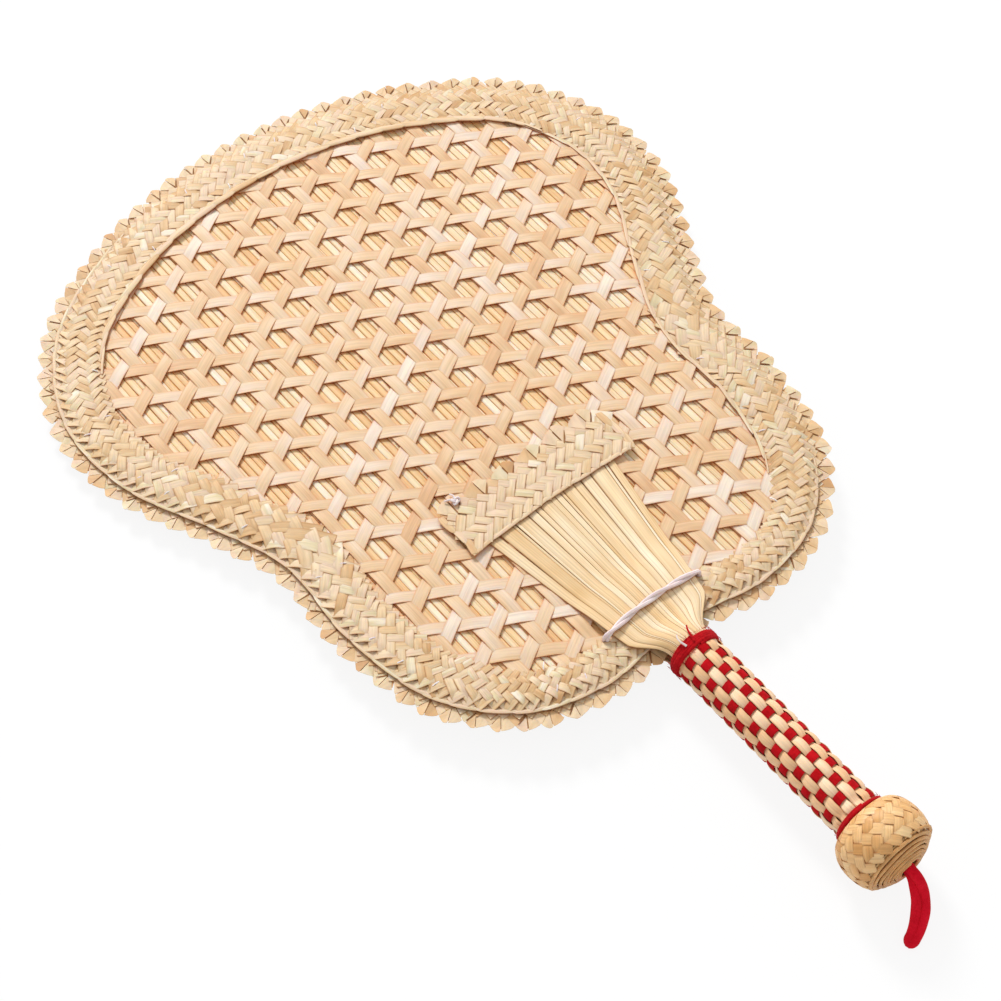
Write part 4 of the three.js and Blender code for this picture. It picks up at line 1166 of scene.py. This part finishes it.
# tails of yarn and thread that stick out at the collar
tails = {
    "redTail": {
        "route": [(-166.5, 1.5, 10.5), (-163.5, 0.9, 11.2), (-161.5, 0.2, 10.8), (-159.8, -0.8, 10.4)],
        "thick": 0.55, "finish": red["felt"], "slot": "red_ribbon",
    },
    "whiteTail": {
        "route": [(-166.0, 4.6, 9.6), (-163.6, 5.4, 10.2), (-161.6, 5.2, 10.0), (-160.4, 4.4, 9.9)],
        "thick": 0.45, "finish": straw["thread"], "slot": "white_thread",
    },
}
for name, look in tails.items():
    line, _ = centripetal(look["route"], False, 16)
    thick = look["thick"] * np.linspace(1.0, 0.55, 16)
    tail = layStrip(line, *frameOf(line), across=8, tone=0.6, wrap=(thick, thick))
    bindStrips(name, [tail], look["finish"], look["slot"], [], close=True)
print("handle bound")

# binding thread: two plies twisted round a closed line, over the straws in front and behind
thread = {
    "x": -142.5, "level": 5.15, "half": 22.5, "corner": 1.8, "bow": 1.8,
    "ply": 0.82, "apart": 0.8, "pitch": 24.0, "plies": 2, "samples": 420,
}
x, level, half, corner = thread["x"], thread["level"], thread["half"], thread["corner"]
threadLine = []
for face in (1, -1):
    for i in range(7):
        share = 1 - i / 3
        bow = thread["bow"] * (1 - share**2)
        threadLine.append((x + bow, face * share * (half - corner), face * level))
    threadLine.append((x, -face * (half - corner * 0.3), face * (level - corner * 0.3)))
    threadLine.append((x, -face * half, face * (level - corner)))
    threadLine.append((x, -face * half, -face * (level - corner)))
    threadLine.append((x, -face * (half - corner * 0.3), -face * (level - corner * 0.3)))
threadRound, threadLength = centripetal(threadLine, True, thread["samples"])
base = np.vstack([threadRound, threadRound[:1]])
side, up = frameOf(base, -xAxis)
twist = np.linspace(0.0, 1.0, thread["samples"] + 1) * round(threadLength / thread["pitch"])
plies = []
for k in range(thread["plies"]):
    spin = 2 * math.pi * (twist + k / thread["plies"])
    around = np.cos(spin)[:, None] * side + np.sin(spin)[:, None] * up
    line = base + thread["ply"] * thread["apart"] * around
    plies.append(layStrip(line, side, up, across=8, tone=0.3 + 0.25 * k, wrap=(thread["ply"], thread["ply"])))
bindStrips("threadPlies", plies, straw["thread"], "white_thread", ["binding_thread"], close=True)

# the knot at the crest braid's end: a trefoil with two tails
knot = {
    "spot": (-60.6, 28.0, 4.6), "size": 1.25, "ply": 0.5,
    "tails": [
        [(0, 0, 0.2), (1.6, 1.6, 0.3), (2.6, 3.4, -0.4)],
        [(0, 0, 0.1), (2.2, -0.6, 0.4), (4.0, -0.2, -0.3)],
    ],
}
t = np.linspace(0.0, 2 * math.pi, 70)
trefoil = knot["size"] * np.column_stack([
    (np.sin(t) + 2 * np.sin(2 * t)) / 2.6, (np.cos(t) - 2 * np.cos(2 * t)) / 2.2, -0.35 * np.sin(3 * t),
])
knotLines = [(trefoil, knot["ply"])]
for tail in knot["tails"]:
    knotLines.append((centripetal(tail, False, 10)[0], knot["ply"] * np.linspace(0.9, 0.6, 10)))
loops = [layStrip(line + np.array(knot["spot"]), *frameOf(line), across=8, tone=0.6, wrap=(ply, ply))
         for line, ply in knotLines]
bindStrips("crestKnotLoops", loops, straw["thread"], "white_thread", ["crest_tie_knot"], close=True)

# pommel: a braided cap round the ball
pommel = {
    "centreX": -263.812, "mouthX": -253.9, "endX": -277.5, "shellEndX": -270.892,
    "radius": 17.2, "mouth": 11.2, "hole": 4.2, "sunk": 0.6, "past": 0.5,
    "strips": 21, "widths": (1.12, 1.2), "swing": 0.2, "thickness": 0.26, "crown": 0.12, "bands": 6,
    "stray": 0.07, "bob": 0.06, "seed": 81,
}


def pommelRadius(x):
    front = np.clip((x - pommel["centreX"]) / (pommel["mouthX"] - pommel["centreX"]), 0, 1)
    back = np.clip((pommel["centreX"] - x) / (pommel["centreX"] - pommel["endX"]), 0, 1)
    nose = mix(pommel["mouth"], pommel["radius"], np.sqrt(1 - front**2))
    tail = mix(pommel["hole"], pommel["radius"], np.sqrt(1 - back**2.4))
    return np.where(x > pommel["centreX"], nose, tail)


def pommelStrips():
    rng = random.Random(pommel["seed"])
    # distance along the cap's profile, from its mouth to a little past where the coil starts
    profileX = np.linspace(pommel["mouthX"], pommel["shellEndX"] - pommel["past"], 260)
    profile = np.column_stack([profileX, pommelRadius(profileX) - pommel["sunk"]])
    reach = reachOf(profile)
    d = np.linspace(0.0, reach[-1], 40)
    x, radius = [np.interp(d, reach, column) for column in profile.T]
    turned = np.cumsum(np.concatenate([[0.0], np.diff(d)]) / np.maximum(radius, 6.0))
    outX, outR = unit(np.column_stack([np.gradient(radius, d), -np.gradient(x, d)])).T
    strips = []
    for i in range(pommel["strips"]):
        for lean in (1, -1):
            place = i + 0.5 + rng.uniform(-pommel["stray"], pommel["stray"])
            place = 2 * math.pi * place / pommel["strips"]
            angle = place + lean * (turned - turned[-1] / 2)
            wave = lean * braidWave(d / reach[-1], pommel["bands"])
            bump = pommel["swing"] * wave + rng.uniform(-pommel["bob"], pommel["bob"])
            line, _ = wound(x + outX * bump, radius + outR * bump, angle)
            up, _ = wound(outX, outR, angle)
            side = unit(np.cross(up, unit(np.gradient(line, axis=0))))
            spacing = 2 * math.pi * radius / pommel["strips"] * math.sqrt(0.5)
            broad = spacing * rng.uniform(*pommel["widths"])
            strips.append(layStrip(line, side, up, broad, crown=pommel["crown"], **grainFrom(rng)))
    return strips


bindStrips("pommelCap", pommelStrips(), straw["pommel"], "pommel_straw", ["pommel_shell"],
           thickness=pommel["thickness"], smooth=30)

# a thin straw rope, coiled from the cap's edge to the hole of the loop over a low dome
endRope = {
    "turns": 8, "steps": 32, "diameter": 1.36, "inner": 3.9, "outer": 15.0, "rimX": -271.4, "depth": 5.4,
    "power": 2.6, "broad": 0.58, "high": 0.46,  # half sizes, as shares of the diameter
}
theta = np.linspace(0.0, endRope["turns"] * 2 * math.pi, endRope["turns"] * endRope["steps"])
radius = mix(endRope["inner"], endRope["outer"], theta / theta[-1])
radius = radius + 0.13 * np.sin(theta * 1.31) + 0.09 * np.sin(theta * 2.7 + 1)
ropeX = endRope["rimX"] - endRope["depth"] * (1 - (radius / endRope["outer"]) ** endRope["power"])
line, _ = wound(ropeX + 0.06 * np.sin(theta * 1.9), radius, theta)
thick = endRope["diameter"] * (1 + 0.12 * np.sin(theta * 4.3) + 0.6 * (theta / theta[-1]) ** 8)
thick = thick * mix(0.3, 1.0, smoothStep(theta[-1] - theta, 0.0, 1.6))  # its outer end tapers
wrap = (thick * endRope["broad"], thick * endRope["high"])
rope = layStrip(line, *frameOf(line, -xAxis), across=8, wrap=wrap)
bindStrips("pommelEndCoil", [rope], straw["coil"], "pommel_straw", ["pommel_end_rope"], close=True)
print("pommel woven")

for name in ("handle_stick", "pommel_core", "rim_hoop"):
    node = frame["nodes"][name]
    node.data.materials.clear()
    node.data.materials.append(straw["stick"])
for source in flatGrids.values():
    bpy.data.objects.remove(source)

# floor and light
studio = {
    "floor": "f4f4f4", "floorSize": 12, "floorWhite": 0.88, "fill": 0.66,
    "keyPower": 302.0, "keySize": 1.3, "keyAway": 6.0,
    "rise": 38.0, "swing": -24.0,  # degrees up and to the right of straight ahead
}
white = (1, 1, 1, 1)
bpy.ops.object.select_all(action="DESELECT")
bpy.ops.mesh.primitive_plane_add(size=studio["floorSize"], location=(0, 0, 0))
floor = bpy.context.object
floor.name = "floor"
paleFloor = bpy.data.materials.new("paleFloor")
tree = emptyTree(paleFloor)
paths = nodeOf(tree, "LightPath", {}).outputs
seen = mathOf(tree, "MAXIMUM", paths["Is Camera Ray"], paths["Is Glossy Ray"])
share = mathOf(tree, "MULTIPLY", seen, studio["floorWhite"])
paint = nodeOf(tree, "BsdfDiffuse", {"Color": srgb(studio["floor"])}).outputs[0]
glow = nodeOf(tree, "Emission", {"Color": white, "Strength": 1.0}).outputs[0]
mixer = nodeOf(tree, "MixShader", {0: share, 1: paint, 2: glow})
nodeOf(tree, "OutputMaterial", {0: mixer.outputs[0]})
floor.data.materials.append(paleFloor)

ahead = Vector((viewAxis[0], viewAxis[1], 0.0)).normalized()
right = Vector((rightAxis[0], rightAxis[1], 0.0)).normalized()
rise = math.radians(studio["rise"])
swing = math.radians(studio["swing"])
keyDirection = (ahead * math.cos(swing) + right * math.sin(swing)) * math.cos(rise)
keySpot = (keyDirection + Vector((0, 0, math.sin(rise)))) * studio["keyAway"]
bpy.ops.object.light_add(type="AREA", location=keySpot)
keyLamp = bpy.context.object
keyLamp.name = "keyLamp"
keyLamp.data.size = studio["keySize"]
keyLamp.data.energy = studio["keyPower"]
keyLamp.rotation_euler = (-keySpot).to_track_quat("-Z", "Y").to_euler()
world = bpy.data.worlds.new("studioWorld")
bpy.context.scene.world = world
tree = emptyTree(world)
cameraRay = nodeOf(tree, "LightPath", {}).outputs["Is Camera Ray"]
sky = nodeOf(tree, "Background", {"Color": white, "Strength": studio["fill"]}).outputs[0]
behind = nodeOf(tree, "Background", {"Color": white, "Strength": 1.0}).outputs[0]
mixer = nodeOf(tree, "MixShader", {0: cameraRay, 1: sky, 2: behind})
nodeOf(tree, "OutputWorld", {0: mixer.outputs[0]})
bpy.context.scene.view_settings.view_transform = "Standard"
print("light set")
